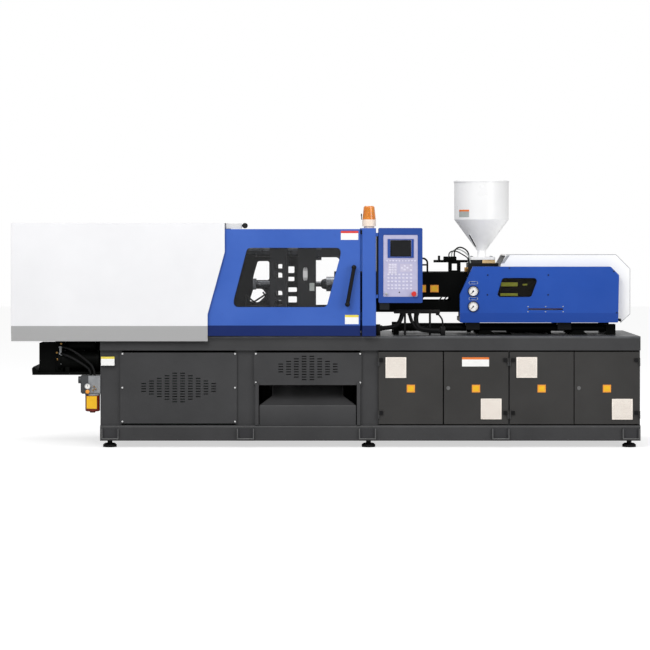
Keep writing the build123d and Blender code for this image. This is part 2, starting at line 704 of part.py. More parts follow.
for side, place in ((-1, "front"), (1, "rear")):
    outer = side * gate_face
    inner = side * (gate_face - gate_depth)
    with BuildPart() as gate:
        block(gate_left, gate_right, min(outer, inner), max(outer, inner), gate_bottom, gate_top)
        fillet(gate.edges().filter_by(Axis.Z).group_by(Axis.X)[-1], 4)
        skin = sorted((side * (gate_face - sheet), side * (gate_face - gate_depth - 1)))
        block(gate_left + sheet, gate_right - sheet, skin[0], skin[1], gate_bottom + sheet, gate_top - sheet,
              Mode.SUBTRACT)
        with BuildSketch(Plane.XZ.offset(gate_face + 1)):
            with BuildLine():
                FilletPolyline(*window_points(place, 0), radius=window_radius, close=True)
            make_face()
        extrude(amount=-2 * gate_face - 2, mode=Mode.SUBTRACT)
        roof = sorted((side * (gate_face - gate_depth), side * (rail_inner - 10)))
        for x in (-760, -280, 180):
            block(x, x + 30, roof[0], roof[1], rail_top + slide_gap, gate_top)
            hook = sorted((side * (rail_inner - 4), side * (rail_inner - 10)))
            block(x, x + 30, hook[0], hook[1], rail_bottom + 8, gate_top)
        if place == "rear":
            for z in (1050, 1320):
                drum_y(gate_face, gate_face + 46, 180, z, 14)
                with Locations((180, gate_face + 46, z)):
                    Sphere(18)
            drum_z(1050, 1320, 180, gate_face + 46, 14)
    save(gate, "safety_gate_" + place)

    # Window pane behind the panel, held in a rubber frame
    pane = sorted((side * (gate_face - sheet), side * (gate_face - sheet - 5)))
    with BuildPart() as window:
        with BuildSketch(Plane.XZ.offset(-pane[1])):
            with BuildLine():
                FilletPolyline(*window_points(place, 18), radius=window_radius + 18, close=True)
            make_face()
        extrude(amount=5)
    save(window, "gate_window_" + place)

# Black bar handle of the front gate: round bar on two bosses
top_x, top_z, low_x, low_z = 202, 1320, 154, 1050
bar_y = -gate_face - 46
with BuildPart() as handle:
    for x, z in ((top_x, top_z), (low_x, low_z)):
        drum_y(bar_y, -gate_face, x, z, 14)
        with Locations((x, bar_y, z)):
            Sphere(18)
    with BuildSketch(Plane(origin=(low_x, bar_y, low_z), z_dir=(top_x - low_x, 0, top_z - low_z))):
        Circle(14)
    extrude(amount=((top_x - low_x) ** 2 + (top_z - low_z) ** 2) ** 0.5)
save(handle, "gate_handle_front")

# Beacon: cream base, amber lens and the turning reflector inside it
beacon_x = 313
beacon_y = -506
beacon_base_top = 1670
beacon_top = 1768
beacon_radius = 50
beacon_tip_radius = 39.5
with BuildPart() as beacon_base:
    drum_z(column_top, column_top + 14, beacon_x, beacon_y, 38)
    drum_z(column_top + 14, beacon_base_top, beacon_x, beacon_y, beacon_radius)
    fillet(beacon_base.edges().group_by(Axis.Z)[-1], 5)
    drum_z(beacon_base_top - 4, beacon_base_top + 14, beacon_x, beacon_y, 8)
save(beacon_base, "beacon_base")

with BuildPart() as beacon_lens:
    with BuildSketch(Plane(origin=(beacon_x, beacon_y, beacon_base_top), x_dir=(1, 0, 0), z_dir=(0, -1, 0))):
        with BuildLine():
            tall = beacon_top - beacon_base_top
            Polyline((beacon_radius - 5, 0), (beacon_radius - 1, 0), (beacon_tip_radius, tall - 8),
                     (beacon_tip_radius - 8, tall), (0, tall), (0, tall - 3), (beacon_tip_radius - 9, tall - 3),
                     (beacon_tip_radius - 3, tall - 9), close=True)
        make_face()
    revolve(axis=Axis(origin=(beacon_x, beacon_y, 0), direction=(0, 0, 1)))
save(beacon_lens, "beacon_lens")

with BuildPart() as beacon_reflector:
    with BuildSketch(Plane.XY.offset(beacon_base_top + 14 + slide_gap)):
        with Locations((beacon_x, beacon_y)):
            Circle(30)
            Circle(26, mode=Mode.SUBTRACT)
        with Locations((beacon_x - 20, beacon_y)):
            Rectangle(40, 64, mode=Mode.SUBTRACT)
        with Locations((beacon_x + 8, beacon_y)):
            Rectangle(40, 8)
        with Locations((beacon_x, beacon_y)):
            Circle(9)
    extrude(amount=50)
save(beacon_reflector, "beacon_reflector")

# Lubrication pump with its gauge and reservoir, on a bracket at the left end of the base
lube_x = -1716
lube_y = -440
lube_bottom = 392
lube_top = 524
reservoir_bottom = 262
with BuildPart() as lube_pump:
    block(lube_x - 84, lube_x + 60, lube_y - 50, lube_y + 50, lube_bottom + 8, lube_top)
    fillet(lube_pump.edges().filter_by(Axis.Z).group_by(Axis.X)[0], 12)
    block(lube_x - 76, base_left, lube_y - 40, lube_y + 40, lube_bottom, lube_bottom + 8)
    drum_y(lube_y - 74, lube_y - 50, lube_x - 30, 449, 22)
    drum_z(reservoir_bottom + 20, lube_bottom, lube_x, lube_y, 10)
    drum_z(lube_bottom - 12, lube_bottom, lube_x, lube_y, 55)
    drum_y(lube_y - 64, lube_y - 50, lube_x - 30, 410, 11)
    drum_x(lube_x - 104, lube_x - 84, lube_y, 492, 26)
save(lube_pump, "lube_pump")

with BuildPart() as lube_reservoir:
    drum_z(reservoir_bottom, lube_bottom - 12, lube_x, lube_y, 54)
    fillet(lube_reservoir.edges().group_by(Axis.Z)[0], 10)
    drum_z(reservoir_bottom + 16, lube_bottom, lube_x, lube_y, 10 + running_gap, Mode.SUBTRACT)
    drum_z(reservoir_bottom - 10, reservoir_bottom + 1, lube_x, lube_y, 20)
save(lube_reservoir, "lube_reservoir")

# Oil cooler and filter box on a folded shelf, carried by the left end of the base
shelf_left = -2160
shelf_top = 549
shelf_lip = 22
shelf_front = -430
shelf_back = 60
shelf_sheet = 4
with BuildPart() as oil_cooler:
    block(shelf_left, base_left, shelf_front, shelf_back, shelf_top - shelf_sheet, shelf_top)
    block(shelf_left, base_left, shelf_front, shelf_front + shelf_sheet, shelf_top - shelf_lip, shelf_top)
    block(shelf_left, base_left, shelf_back - shelf_sheet, shelf_back, shelf_top - shelf_lip, shelf_top)
    block(base_left - shelf_sheet, base_left, shelf_front, shelf_back, shelf_top - shelf_lip, 720)
    with BuildSketch(front_plane(shelf_front)):
        with BuildLine():
            Polyline((shelf_left, shelf_top - shelf_lip), (shelf_left + 44, shelf_top - shelf_lip),
                     (shelf_left + 44, shelf_top), (shelf_left + 8, 588), (shelf_left - 4, 576), close=True)
        make_face()
    extrude(amount=shelf_front - shelf_back)
    for y in (-160, 52):
        with BuildSketch(front_plane(y)):
            with BuildLine():
                Polyline((base_left, shelf_top), (base_left, 720), (base_left - 200, shelf_top), close=True)
            make_face()
        extrude(amount=-8)
    drum_x(-1952, -1692, -360, 634, 70)
    drum_x(-1692, -1672, -360, 634, 80)
    drum_x(-1972, -1952, -360, 634, 80)
    drum_z(690, 760, -1800, -360, 18)
    for x in (-1920, -1750):
        block(x, x + 30, -410, -310, shelf_top, 600)
    block(-2114, -1996, -400, -180, shelf_top, 760)
    fillet(oil_cooler.edges().filter_by(Axis.Z).group_by(Axis.X)[1], 6)
save(oil_cooler, "oil_cooler")


# Hydraulic hoses in front of the injection unit, from a manifold on two posts down to blocks on the deck
hose_y = -315
manifold_bottom = 975
manifold_top = 1003
hose_runs = [
    (17, [(532, manifold_bottom), (532, 905), (470, 868), (385, 868)]),
    (17, [(634, manifold_bottom), (634, 905), (700, 848), (850, 848)]),
    (14, [(690, manifold_bottom), (690, 925), (760, 885), (850, 885)]),
    (10, [(812, manifold_bottom), (812, 930), (822, 915), (822, 905)]),
]
with BuildPart() as hoses:
    for radius, points in hose_runs:
        with BuildLine() as route:
            FilletPolyline(*[(x, hose_y, z) for x, z in points], radius=radius * 2)
        with BuildSketch(Plane(origin=(points[0][0], hose_y, manifold_bottom), z_dir=(0, 0, -1))):
            Circle(radius)
        sweep(path=route.line)
    block(500, 840, hose_y - 28, hose_y + 28, manifold_bottom, manifold_top)
    for x in (575, 760):
        block(x, x + 16, hose_y + 20, hose_y + 27, deck_top, manifold_bottom + 4)
    block(365, 400, hose_y - 30, hose_y + 30, deck_top, 894)
    block(798, 880, hose_y - 30, hose_y + 30, deck_top, 909)
save(hoses, "hoses")

# Injection bed: round guide bars on folded supports, and the carriage cylinder between them
rail_height = 862
rail_offset = 200
rail_radius = 22
support_places = [1187, 1875]
rails_left = 500
rails_right = 2150
carriage_cylinder_left = 1360
carriage_cylinder_right = 1690
carriage_cylinder_radius = 35
carriage_rod_radius = 15
carriage_height = 850
with BuildPart() as injection_bed:
    for side in (-1, 1):
        drum_x(rails_left, rails_right, side * rail_offset, rail_height, rail_radius)
        for x in support_places:
            with BuildSketch(Plane.XZ.offset(-side * rail_offset - 30)):
                with BuildLine():
                    Polyline((x - 68, deck_top), (x + 68, deck_top), (x + 34, rail_height - 14),
                             (x - 34, rail_height - 14), close=True)
                make_face()
            extrude(amount=60)
        block(rails_left, rails_left + 40, side * rail_offset - 34, side * rail_offset + 34, deck_top,
              rail_height + 30)
        block(rails_right - 70, rails_right, side * rail_offset - 40, side * rail_offset + 40, deck_top,
              rail_height + 30)
    block(support_places[0] - 68, carriage_cylinder_left + 20, -rail_offset - 30, rail_offset + 30,
          deck_top, deck_top + 4)
    drum_x(carriage_cylinder_left, carriage_cylinder_right, 0, carriage_height, carriage_cylinder_radius)
    drum_x(carriage_cylinder_left + 25, carriage_cylinder_right - 25, 0, carriage_height,
           carriage_cylinder_radius - 8, Mode.SUBTRACT)
    drum_x(carriage_cylinder_left - 1, carriage_cylinder_left + 26, 0, carriage_height,
           carriage_rod_radius + running_gap, Mode.SUBTRACT)
    block(carriage_cylinder_right - 20, carriage_cylinder_right, -50, 50, deck_top, carriage_height)
    block(carriage_cylinder_left, carriage_cylinder_left + 20, -50, 50, deck_top,
          carriage_height - carriage_rod_radius - 4)
save(injection_bed, "injection_bed")

# Injection carriage: saddle on the guide bars, feed block with the barrel's seat, lug and rod
barrel_height = clamp_height
barrel_radius = 55
carriage_left = 1000
carriage_right = 2060
feed_left = 1062
feed_right = 1290
feed_half_width = 115
feed_top = 1344
saddle_bottom = 905
bearing_length = 100
bearing_places = [1040, 1720]
saddle_top = 935
screw_radius_mm = 20
throat_x = 1170
throat_radius = 26
with BuildPart() as injection_carriage:
    block(carriage_left, carriage_right, -260, 260, saddle_bottom, saddle_top)
    block(feed_left, feed_right, -feed_half_width, feed_half_width, saddle_top, feed_top)
    for x in bearing_places:
        for side in (-1, 1):
            block(x, x + bearing_length, side * rail_offset - 42, side * rail_offset + 42, rail_height - 10,
                  saddle_bottom)
            drum_x(x - 1, x + bearing_length + 1, side * rail_offset, rail_height, rail_radius + running_gap,
                   Mode.SUBTRACT)
    block(carriage_left + 60, carriage_left + 90, -30, 30, carriage_height - 30, saddle_bottom)
    drum_x(carriage_left + 90, carriage_cylinder_left + 30, 0, carriage_height, carriage_rod_radius)
    drum_x(feed_left - 1, feed_right + 1, 0, barrel_height, barrel_radius, Mode.SUBTRACT)
    drum_z(barrel_height, feed_top + 1, throat_x, 0, throat_radius, Mode.SUBTRACT)
    for side in (-1, 1):
        drum_x(feed_right, carriage_right - 60, side * 150, barrel_height - 90, 22)
        block(feed_left + 40, feed_right, side * 150 - 45, side * 150 + 45, saddle_top, barrel_height - 45)
        block(carriage_right - 60, carriage_right - 20, side * 150 - 40, side * 150 + 40, saddle_top,
              barrel_height - 50)
save(injection_carriage, "injection_carriage")

# Barrel with nozzle and heater bands
nozzle_tip = -128
barrel_left = 0
band_places = range(60, 1000, 118)
with BuildPart() as barrel:
    drum_x(barrel_left, feed_right, 0, barrel_height, barrel_radius)
    with BuildSketch(Plane.XZ):
        with BuildLine():
            Polyline((barrel_left, barrel_height), (barrel_left, barrel_height + 42),
                     (barrel_left - 30, barrel_height + 34), (barrel_left - 40, barrel_height + 20),
                     (nozzle_tip + 16, barrel_height + 20), (nozzle_tip, barrel_height + 8),
                     (nozzle_tip, barrel_height), close=True)
        make_face()
    revolve(axis=Axis(origin=(0, 0, barrel_height), direction=(1, 0, 0)))
    for x in band_places:
        drum_x(x, x + 100, 0, barrel_height, barrel_radius + 9)
    drum_x(barrel_left + 20, feed_right + 1, 0, barrel_height, screw_radius_mm + running_gap, Mode.SUBTRACT)
    drum_x(nozzle_tip - 1, barrel_left + 21, 0, barrel_height, 3, Mode.SUBTRACT)
    drum_z(barrel_height, barrel_height + barrel_radius + 1, throat_x, 0, throat_radius, Mode.SUBTRACT)
save(barrel, "barrel")

# Injection plate with its bearing housing and the hydraulic motor, riding on two guide bars
plate_left = 1520
plate_thickness = 70
with BuildPart() as injection_plate:
    block(plate_left, plate_left + plate_thickness, -205, 205, barrel_height - 140, barrel_height + 100)
    fillet(injection_plate.edges().filter_by(Axis.X), 24)
    drum_x(plate_left - 50, plate_left, 0, barrel_height, 60)
    drum_x(plate_left + plate_thickness, plate_left + 180, 0, barrel_height, 85)
    drum_x(plate_left + 180, plate_left + 320, 0, barrel_height, 68)
    for side in (-1, 1):
        drum_x(plate_left - 1, plate_left + plate_thickness + 1, side * 150, barrel_height - 90,
               22 + running_gap, Mode.SUBTRACT)
    drum_x(plate_left - 51, plate_left + 20, 0, barrel_height, screw_radius_mm + running_gap, Mode.SUBTRACT)
save(injection_plate, "injection_plate")

# Plasticising screw: shank in the drive, flighted length in the barrel
with BuildPart() as screw:
    drum_x(barrel_left + 60, plate_left + 18, 0, barrel_height, screw_radius_mm - 4)
    drum_x(feed_right - 60, plate_left + 18, 0, barrel_height, screw_radius_mm)
    for x in range(90, 1080, 40):
        drum_x(x, x + 6, 0, barrel_height, screw_radius_mm)
    with BuildSketch(Plane.XZ):
        with BuildLine():
            Polyline((barrel_left + 24, barrel_height), (barrel_left + 60, barrel_height + screw_radius_mm - 4),
                     (barrel_left + 60, barrel_height), close=True)
        make_face()
    revolve(axis=Axis(origin=(0, 0, barrel_height), direction=(1, 0, 0)))
save(screw, "screw")

# Barrel guard: folded hood with a long slot at the front
guard_left = 60
guard_right = 1050
guard_half_width = 175
guard_bottom = 980
guard_top = 1278
hoop_left = 560
hoop_right = 755
hoop_top = 1380
hoop_middle = 1332
hoop_y = -160
hoop_radius = 7
with BuildPart() as barrel_guard:
    block(guard_left, guard_right, -guard_half_width, guard_half_width, guard_bottom, guard_top)
    fillet(barrel_guard.edges().filter_by(Axis.X).group_by(Axis.Z)[-1], 3)
    block(guard_left - 1, guard_right + 1, -guard_half_width + sheet, guard_half_width - sheet,
          guard_bottom - 1, guard_top - sheet, Mode.SUBTRACT)
    for side in (-1, 1):
        with BuildSketch(Plane.XZ.offset(-side * (guard_half_width - 10))):
            with Locations((825, 1078)):
                SlotOverall(206, 26)
        extrude(amount=-side * 20, mode=Mode.SUBTRACT)
        low, high = sorted((side * (guard_half_width - 1), side * 255))
        block(guard_right - 40, guard_right - 6, low, high, guard_bottom, guard_bottom + 3)
        low, high = sorted((side * 252, side * 255))
        block(guard_right - 40, guard_right - 6, low, high, saddle_top, guard_bottom + 3)
    with BuildLine() as hoop:
        FilletPolyline((hoop_left, hoop_y, guard_top - 2), (hoop_left, hoop_y, hoop_top), (hoop_right, hoop_y, hoop_top),
                       (hoop_right, hoop_y, guard_top - 2), radius=34)
    with BuildSketch(Plane(origin=(hoop_left, hoop_y, guard_top - 2), z_dir=(0, 0, 1))):
        Circle(hoop_radius)
    sweep(path=hoop.line)
    drum_x(hoop_left, hoop_right, hoop_y, hoop_middle, hoop_radius - 1)
    block(915, 1005, -130, -70, guard_top - 2, 1353)
    block(940, 980, -131, -69, guard_top + 12, 1340, Mode.SUBTRACT)
    block(804, 1060, -110, -90, 1349, 1368)
    block(878, 975, -120, -80, 1366, 1394)
    drum_z(1366, 1400, 845, -100, 9)
    chamfer(barrel_guard.edges().filter_by(Axis.Y).group_by(Axis.Z)[-1], 4)
save(barrel_guard, "barrel_guard")

# Side cover of the injection unit: folded sheet with a window, two gauge cases and a scale slot
cover_face = 330
cover_fold = 66
side_cover_points = [(1085, 1321), (2103, 1321), (2165, 1259), (2158, 908), (989, 908), (989, 1113)]
cover_window_points = [(1302, 1237), (1566, 1237), (1514, 1097), (1260, 1097)]
gauge_x = 1087
gauge_heights = (1140, 1027)
gauge_radius = 39
scale_slot = (1491, 1750, 1007)
with BuildPart() as injection_cover:
    with BuildSketch(front_plane(-cover_face)):
        with BuildLine():
            FilletPolyline(*side_cover_points, radius=8, close=True)
        make_face()
    extrude(amount=-cover_fold)
    with BuildSketch(front_plane(-cover_face + sheet)):
        with BuildLine():
            FilletPolyline(*side_cover_points, radius=8, close=True)
        make_face()
        offset(amount=-sheet)
    extrude(amount=-cover_fold, mode=Mode.SUBTRACT)
    with BuildSketch(front_plane(-cover_face)):
        with BuildLine():
            FilletPolyline(*cover_window_points, radius=22, close=True)
        make_face()
    extrude(amount=-sheet, mode=Mode.SUBTRACT)
    with BuildSketch(front_plane(-cover_face)):
        with Locations(((scale_slot[0] + scale_slot[1]) / 2, scale_slot[2])):
            SlotOverall(scale_slot[1] - scale_slot[0], 12)
    extrude(amount=-sheet, mode=Mode.SUBTRACT)
    for z in gauge_heights:
        drum_y(-cover_face - 7, -cover_face + 30, gauge_x, z, gauge_radius)
        drum_y(-cover_face - 8, -cover_face - 1, gauge_x, z, gauge_radius - 4, Mode.SUBTRACT)
        drum_y(-cover_face - 3, -cover_face - 1, gauge_x, z, 2.5)
    for x in (1100, 1980):
        block(x, x + 40, -cover_face + cover_fold - 4, -cover_face + cover_fold, saddle_bottom, 960)
        block(x, x + 40, -cover_face + cover_fold, -260, saddle_bottom, saddle_top)
save(injection_cover, "injection_cover")

# Gauge needles
for z, name in zip(gauge_heights, ("upper_gauge_needle", "lower_gauge_needle")):
    with BuildPart() as needle:
        with BuildSketch(front_plane(-cover_face - 3 - slide_gap)):
            with Locations((gauge_x, z)):
                Circle(5)
            with BuildLine():
                Polyline((gauge_x + 3, z - 3), (gauge_x - 18, z - 22), (gauge_x - 3, z + 3), close=True)
            make_face()
        extrude(amount=1.5)
        drum_y(-cover_face - 3 - slide_gap, -cover_face - 3, gauge_x, z, 1.5)
    save(needle, name)

# Rear cover of the injection unit: folded hood over the drive
rear_cover_points = [(1336, 1409), (2151, 1409), (2255, 1305), (2255, 969), (2184, 904), (1420, 904), (1294, 1290),
                     (1294, 1333)]
rear_cover_half = 256
with BuildPart() as rear_cover:
    with BuildSketch(front_plane(-rear_cover_half)):
        with BuildLine():
            Polyline(*rear_cover_points, close=True)
        make_face()
    extrude(amount=-2 * rear_cover_half)
    with BuildSketch(front_plane(-rear_cover_half + sheet)):
        with BuildLine():
            Polyline(*rear_cover_points, close=True)
        make_face()
        offset(amount=-sheet)
    extrude(amount=-2 * (rear_cover_half - sheet), mode=Mode.SUBTRACT)
    block(1200, 1500, -rear_cover_half - 1, rear_cover_half + 1, 800, saddle_top + 4, Mode.SUBTRACT)
    block(1290, 2190, -rear_cover_half - 10, rear_cover_half + 10, 800, saddle_top, Mode.SUBTRACT)
    block(1200, 1480, -rear_cover_half + sheet, rear_cover_half - sheet, 800, 1400, Mode.SUBTRACT)
save(rear_cover, "rear_cover")

# Hopper slide base: bed with two ways on top of the feed block
slide_bottom = 1344
slide_top = 1369
hopper_half = 96.5
with BuildPart() as hopper_base:
    block(throat_x - hopper_half, throat_x + hopper_half, -90, 90, slide_bottom, slide_top)
    chamfer(hopper_base.edges().filter_by(Axis.X).group_by(Axis.Z)[-1], 5)
    drum_z(slide_bottom - 1, slide_top + 1, throat_x, 0, throat_radius, Mode.SUBTRACT)
save(hopper_base, "hopper_base")

# Hopper: spun sheet cone and cylinder with a sight slot, neck and square flange
hopper_radius = 205
hopper_shoulder = 1671
hopper_rim = 1957
hopper_neck_top = 1436
hopper_neck_radius = 32
flange_top = 1390
with BuildPart() as hopper:
    with BuildSketch(Plane(origin=(throat_x, 0, 0), x_dir=(1, 0, 0), z_dir=(0, -1, 0))):
        with BuildLine():
            Polyline((hopper_neck_radius, flange_top - 4), (hopper_neck_radius, hopper_neck_top),
                     (hopper_radius, hopper_shoulder), (hopper_radius, hopper_rim),
                     (hopper_radius - sheet, hopper_rim), (hopper_radius - sheet, hopper_shoulder + 1),
                     (hopper_neck_radius - sheet, hopper_neck_top + 1), (hopper_neck_radius - sheet, flange_top - 4),
                     close=True)
        make_face()
    revolve(axis=Axis(origin=(throat_x, 0, 0), direction=(0, 0, 1)))
    with BuildSketch(Plane.XY.offset(slide_top)):
        with Locations((throat_x, 0)):
            RectangleRounded(2 * hopper_half, 186, 10)
            Circle(hopper_neck_radius - sheet, mode=Mode.SUBTRACT)
    extrude(amount=flange_top - slide_top)
    block(throat_x - 20, throat_x - 12, hopper_radius - 4, hopper_radius + 20, 1925, 1950)
    block(throat_x + 12, throat_x + 20, hopper_radius - 4, hopper_radius + 20, 1925, 1950)
    drum_x(throat_x - 20, throat_x + 20, hopper_radius + 12, 1940, 3)
save(hopper, "hopper")

# Hopper lid: shallow dished cap with a hinge tongue
lid_top = 1965
with BuildPart() as hopper_lid:
    with BuildSketch(Plane(origin=(throat_x, 0, 0), x_dir=(1, 0, 0), z_dir=(0, -1, 0))):
        with BuildLine():
            Polyline((0, lid_top), (150, lid_top), (hopper_radius + 4, hopper_rim + 3.5),
                     (hopper_radius + 4, hopper_rim - 6), (hopper_radius + 2, hopper_rim - 6),
                     (hopper_radius + 2, hopper_rim + 0.3), (150, lid_top - sheet), (0, lid_top - sheet), close=True)
        make_face()
    revolve(axis=Axis(origin=(throat_x, 0, 0), direction=(0, 0, 1)))
    block(throat_x - 11.5, throat_x + 11.5, hopper_radius + 2, hopper_radius + 20, 1935, hopper_rim + 3)
    drum_x(throat_x - 12, throat_x + 12, hopper_radius + 12, 1940, 3 + running_gap, Mode.SUBTRACT)
save(hopper_lid, "hopper_lid")

# Control box: swings on a hinge at the right side of the gate column
with BuildPart() as control_box:
    block(box_left, box_right, -box_front, -box_back, box_bottom, box_top)
    fillet(control_box.edges().filter_by(Axis.Y), 10)
    with BuildSketch(front_plane(-box_front)):
        with Locations(((415 + 667) / 2, (1105 + 1557) / 2)):
            RectangleRounded(667 - 415, 1557 - 1105, 8)
    extrude(amount=-6, mode=Mode.SUBTRACT)
    drum_z(box_bottom + 60, box_top - 60, box_axis_x, box_axis_y, 8)
    block(box_axis_x, box_left, box_axis_y - 3, box_axis_y + 3, box_bottom + 60, box_top - 60)
    drum_z(box_bottom, box_top, box_axis_x, box_axis_y, 4 + running_gap, Mode.SUBTRACT)
    block(390, 460, -box_front + 20, -box_back - 30, box_bottom - 50, box_bottom)
    drum_y(-box_front, -box_front + 20, 638, 1127, 8 + running_gap, Mode.SUBTRACT)
save(control_box, "control_box")

# Operator panel: membrane keypad face with the screen bezel and the key switch
bezel = (448, 636, 1391, 1525)
screen = (466, 619, 1398, 1520)
with BuildPart() as operator_panel:
    with BuildSketch(front_plane(-box_front + 6)):
        with Locations(((415 + 667) / 2, (1105 + 1557) / 2)):
            RectangleRounded(666 - 416, 1556 - 1106, 7)
    extrude(amount=3)
    with BuildSketch(front_plane(-box_front + 3)):
        with Locations(((bezel[0] + bezel[1]) / 2, (bezel[2] + bezel[3]) / 2)):
            RectangleRounded(bezel[1] - bezel[0], bezel[3] - bezel[2], 6)
            RectangleRounded(screen[1] - screen[0], screen[3] - screen[2], 3, mode=Mode.SUBTRACT)
    extrude(amount=4)
    drum_y(-box_front - 4, -box_front + 3, 437, 1127, 14)
    drum_y(-box_front - 8, -box_front - 3, 437, 1127, 9)
    drum_y(-box_front - 5, -box_front + 3, 638, 1127, 17)
    drum_y(-box_front - 6, -box_front + 7, 638, 1127, 8 + running_gap, Mode.SUBTRACT)
save(operator_panel, "operator_panel")

# Emergency stop: red mushroom button
with BuildPart() as stop_button:
    drum_y(-box_front - 12, -box_front + 10, 638, 1127, 8)
    drum_y(-box_front - 24, -box_front - 12, 638, 1127, 19)
    fillet(stop_button.edges().filter_by(GeomType.CIRCLE).group_by(Axis.Y)[0], 5)
save(stop_button, "stop_button")
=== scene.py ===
import bpy
import bmesh
import math
from mathutils import Matrix, Vector


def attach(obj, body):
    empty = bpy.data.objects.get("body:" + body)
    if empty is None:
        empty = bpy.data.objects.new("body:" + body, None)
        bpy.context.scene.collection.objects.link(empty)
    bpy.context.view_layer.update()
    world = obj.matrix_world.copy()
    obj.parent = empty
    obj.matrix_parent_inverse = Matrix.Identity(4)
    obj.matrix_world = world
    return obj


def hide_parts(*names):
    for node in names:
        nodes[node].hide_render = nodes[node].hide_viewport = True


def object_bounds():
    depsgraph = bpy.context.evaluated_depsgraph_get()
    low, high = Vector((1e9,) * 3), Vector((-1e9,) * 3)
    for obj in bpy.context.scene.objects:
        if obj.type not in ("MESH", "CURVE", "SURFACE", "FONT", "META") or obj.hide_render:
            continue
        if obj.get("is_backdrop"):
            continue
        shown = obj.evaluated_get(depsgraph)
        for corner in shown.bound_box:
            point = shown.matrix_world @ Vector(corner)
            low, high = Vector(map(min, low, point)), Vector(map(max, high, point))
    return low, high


# Injection moulding machine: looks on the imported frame. Sizes in the piece dictionaries are in millimetres.

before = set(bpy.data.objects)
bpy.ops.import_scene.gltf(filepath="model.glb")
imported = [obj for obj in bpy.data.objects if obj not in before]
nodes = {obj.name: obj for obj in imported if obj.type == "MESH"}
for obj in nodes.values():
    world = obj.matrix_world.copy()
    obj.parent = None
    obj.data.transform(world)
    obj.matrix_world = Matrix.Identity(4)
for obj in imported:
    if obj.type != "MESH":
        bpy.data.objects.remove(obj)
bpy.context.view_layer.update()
mm = 0.001
print("frame loaded with", len(nodes), "nodes")

# Camera, world, lamps and floor

camera = {"x": -0.0095, "y": -17.03, "z": 1.592, "lens": 125.1, "shiftY": -0.1461}
cameraData = bpy.data.cameras.new("camera")
cameraData.lens = camera["lens"]
cameraData.sensor_width = 36
cameraData.shift_y = camera["shiftY"]
cameraData.clip_end = 200
cameraObject = bpy.data.objects.new("camera", cameraData)
cameraObject.location = (camera["x"], camera["y"], camera["z"])
cameraObject.rotation_euler = (math.radians(90), 0, 0)
bpy.context.scene.collection.objects.link(cameraObject)
bpy.context.scene.camera = cameraObject
bpy.context.scene.view_settings.view_transform = "Standard"


def toLinear(hexColour):  # sRGB hex to the linear colour that shaders take
    parts = [int(hexColour[i:i + 2], 16) / 255 for i in (1, 3, 5)]
    return tuple(c / 12.92 if c <= 0.04045 else ((c + 0.055) / 1.055) ** 2.4 for c in parts) + (1.0,)


def addNode(tree, kind, settings=None, links=None):  # one node, with its values and what feeds it
    node = tree.nodes.new(kind)
    for key, value in (settings or {}).items():
        if isinstance(key, str) and hasattr(node, key):
            setattr(node, key, value)
        else:
            node.inputs[key].default_value = value
    for key, source in (links or {}).items():
        tree.links.new(source, node.inputs[key])
    return node


def directRays(tree):  # 1 for rays that come from the camera or through glass
    path = addNode(tree, "ShaderNodeLightPath")
    seen = addNode(tree, "ShaderNodeMath", {"operation": "MAXIMUM"},
                   {0: path.outputs["Is Camera Ray"], 1: path.outputs["Is Transmission Ray"]})
    return seen.outputs[0]


studio = {"skyStrength": 0.6, "floorSize": 60.0, "floorGrey": 0.55, "floorGlow": 0.62,
          "lamps": [("key", (-2.5, -6.5, 6.0), (0.2, 0.0, 0.9), 5.0, 330),
                    ("fill", (5.5, -6.0, 3.2), (0.6, 0.0, 0.9), 4.0, 150),
                    ("top", (0.0, 1.0, 7.0), (0.0, 0.0, 0.8), 5.0, 150)]}
world = bpy.data.worlds.new("studio")
bpy.context.scene.world = world
world.use_nodes = True
tree = world.node_tree
tree.nodes.clear()
sky = addNode(tree, "ShaderNodeBackground", {"Color": (1, 1, 1, 1), "Strength": studio["skyStrength"]})
white = addNode(tree, "ShaderNodeBackground", {"Color": (1, 1, 1, 1), "Strength": 1.0})
mixed = addNode(tree, "ShaderNodeMixShader", None,
                {0: directRays(tree), 1: sky.outputs[0], 2: white.outputs[0]})
addNode(tree, "ShaderNodeOutputWorld", None, {"Surface": mixed.outputs[0]})

for name, place, target, size, power in studio["lamps"]:
    lamp = bpy.data.lights.new(name, "AREA")
    lamp.shape = "DISK"
    lamp.size = size
    lamp.energy = power
    lampObject = bpy.data.objects.new(name, lamp)
    lampObject.location = place
    lampObject.rotation_mode = "QUATERNION"
    lampObject.rotation_quaternion = (Vector(target) - Vector(place)).to_track_quat("-Z", "Y")
    bpy.context.scene.collection.objects.link(lampObject)

floorMesh = bmesh.new()
bmesh.ops.create_grid(floorMesh, x_segments=2, y_segments=2, size=studio["floorSize"] / 2)
floorData = bpy.data.meshes.new("floor")
floorMesh.to_mesh(floorData)
floorMesh.free()
floor = bpy.data.objects.new("floor", floorData)
bpy.context.scene.collection.objects.link(floor)
floor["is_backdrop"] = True
# white studio sweep: unshaded parts read as white, and the shadow stays
paleFloor = bpy.data.materials.new("paleFloor")
paleFloor.use_nodes = True
tree = paleFloor.node_tree
tree.nodes.clear()
grey = studio["floorGrey"]
plain = addNode(tree, "ShaderNodeBsdfDiffuse", {"Color": (grey, grey, grey, 1)})
glow = addNode(tree, "ShaderNodeEmission", {"Color": (1, 1, 1, 1), "Strength": studio["floorGlow"]})
shown = addNode(tree, "ShaderNodeAddShader", None, {0: plain.outputs[0], 1: glow.outputs[0]})
mixed = addNode(tree, "ShaderNodeMixShader", None,
                {0: directRays(tree), 1: plain.outputs[0], 2: shown.outputs[0]})
addNode(tree, "ShaderNodeOutputMaterial", None, {"Surface": mixed.outputs[0]})
floor.data.materials.append(paleFloor)
print("studio set")


# Materials

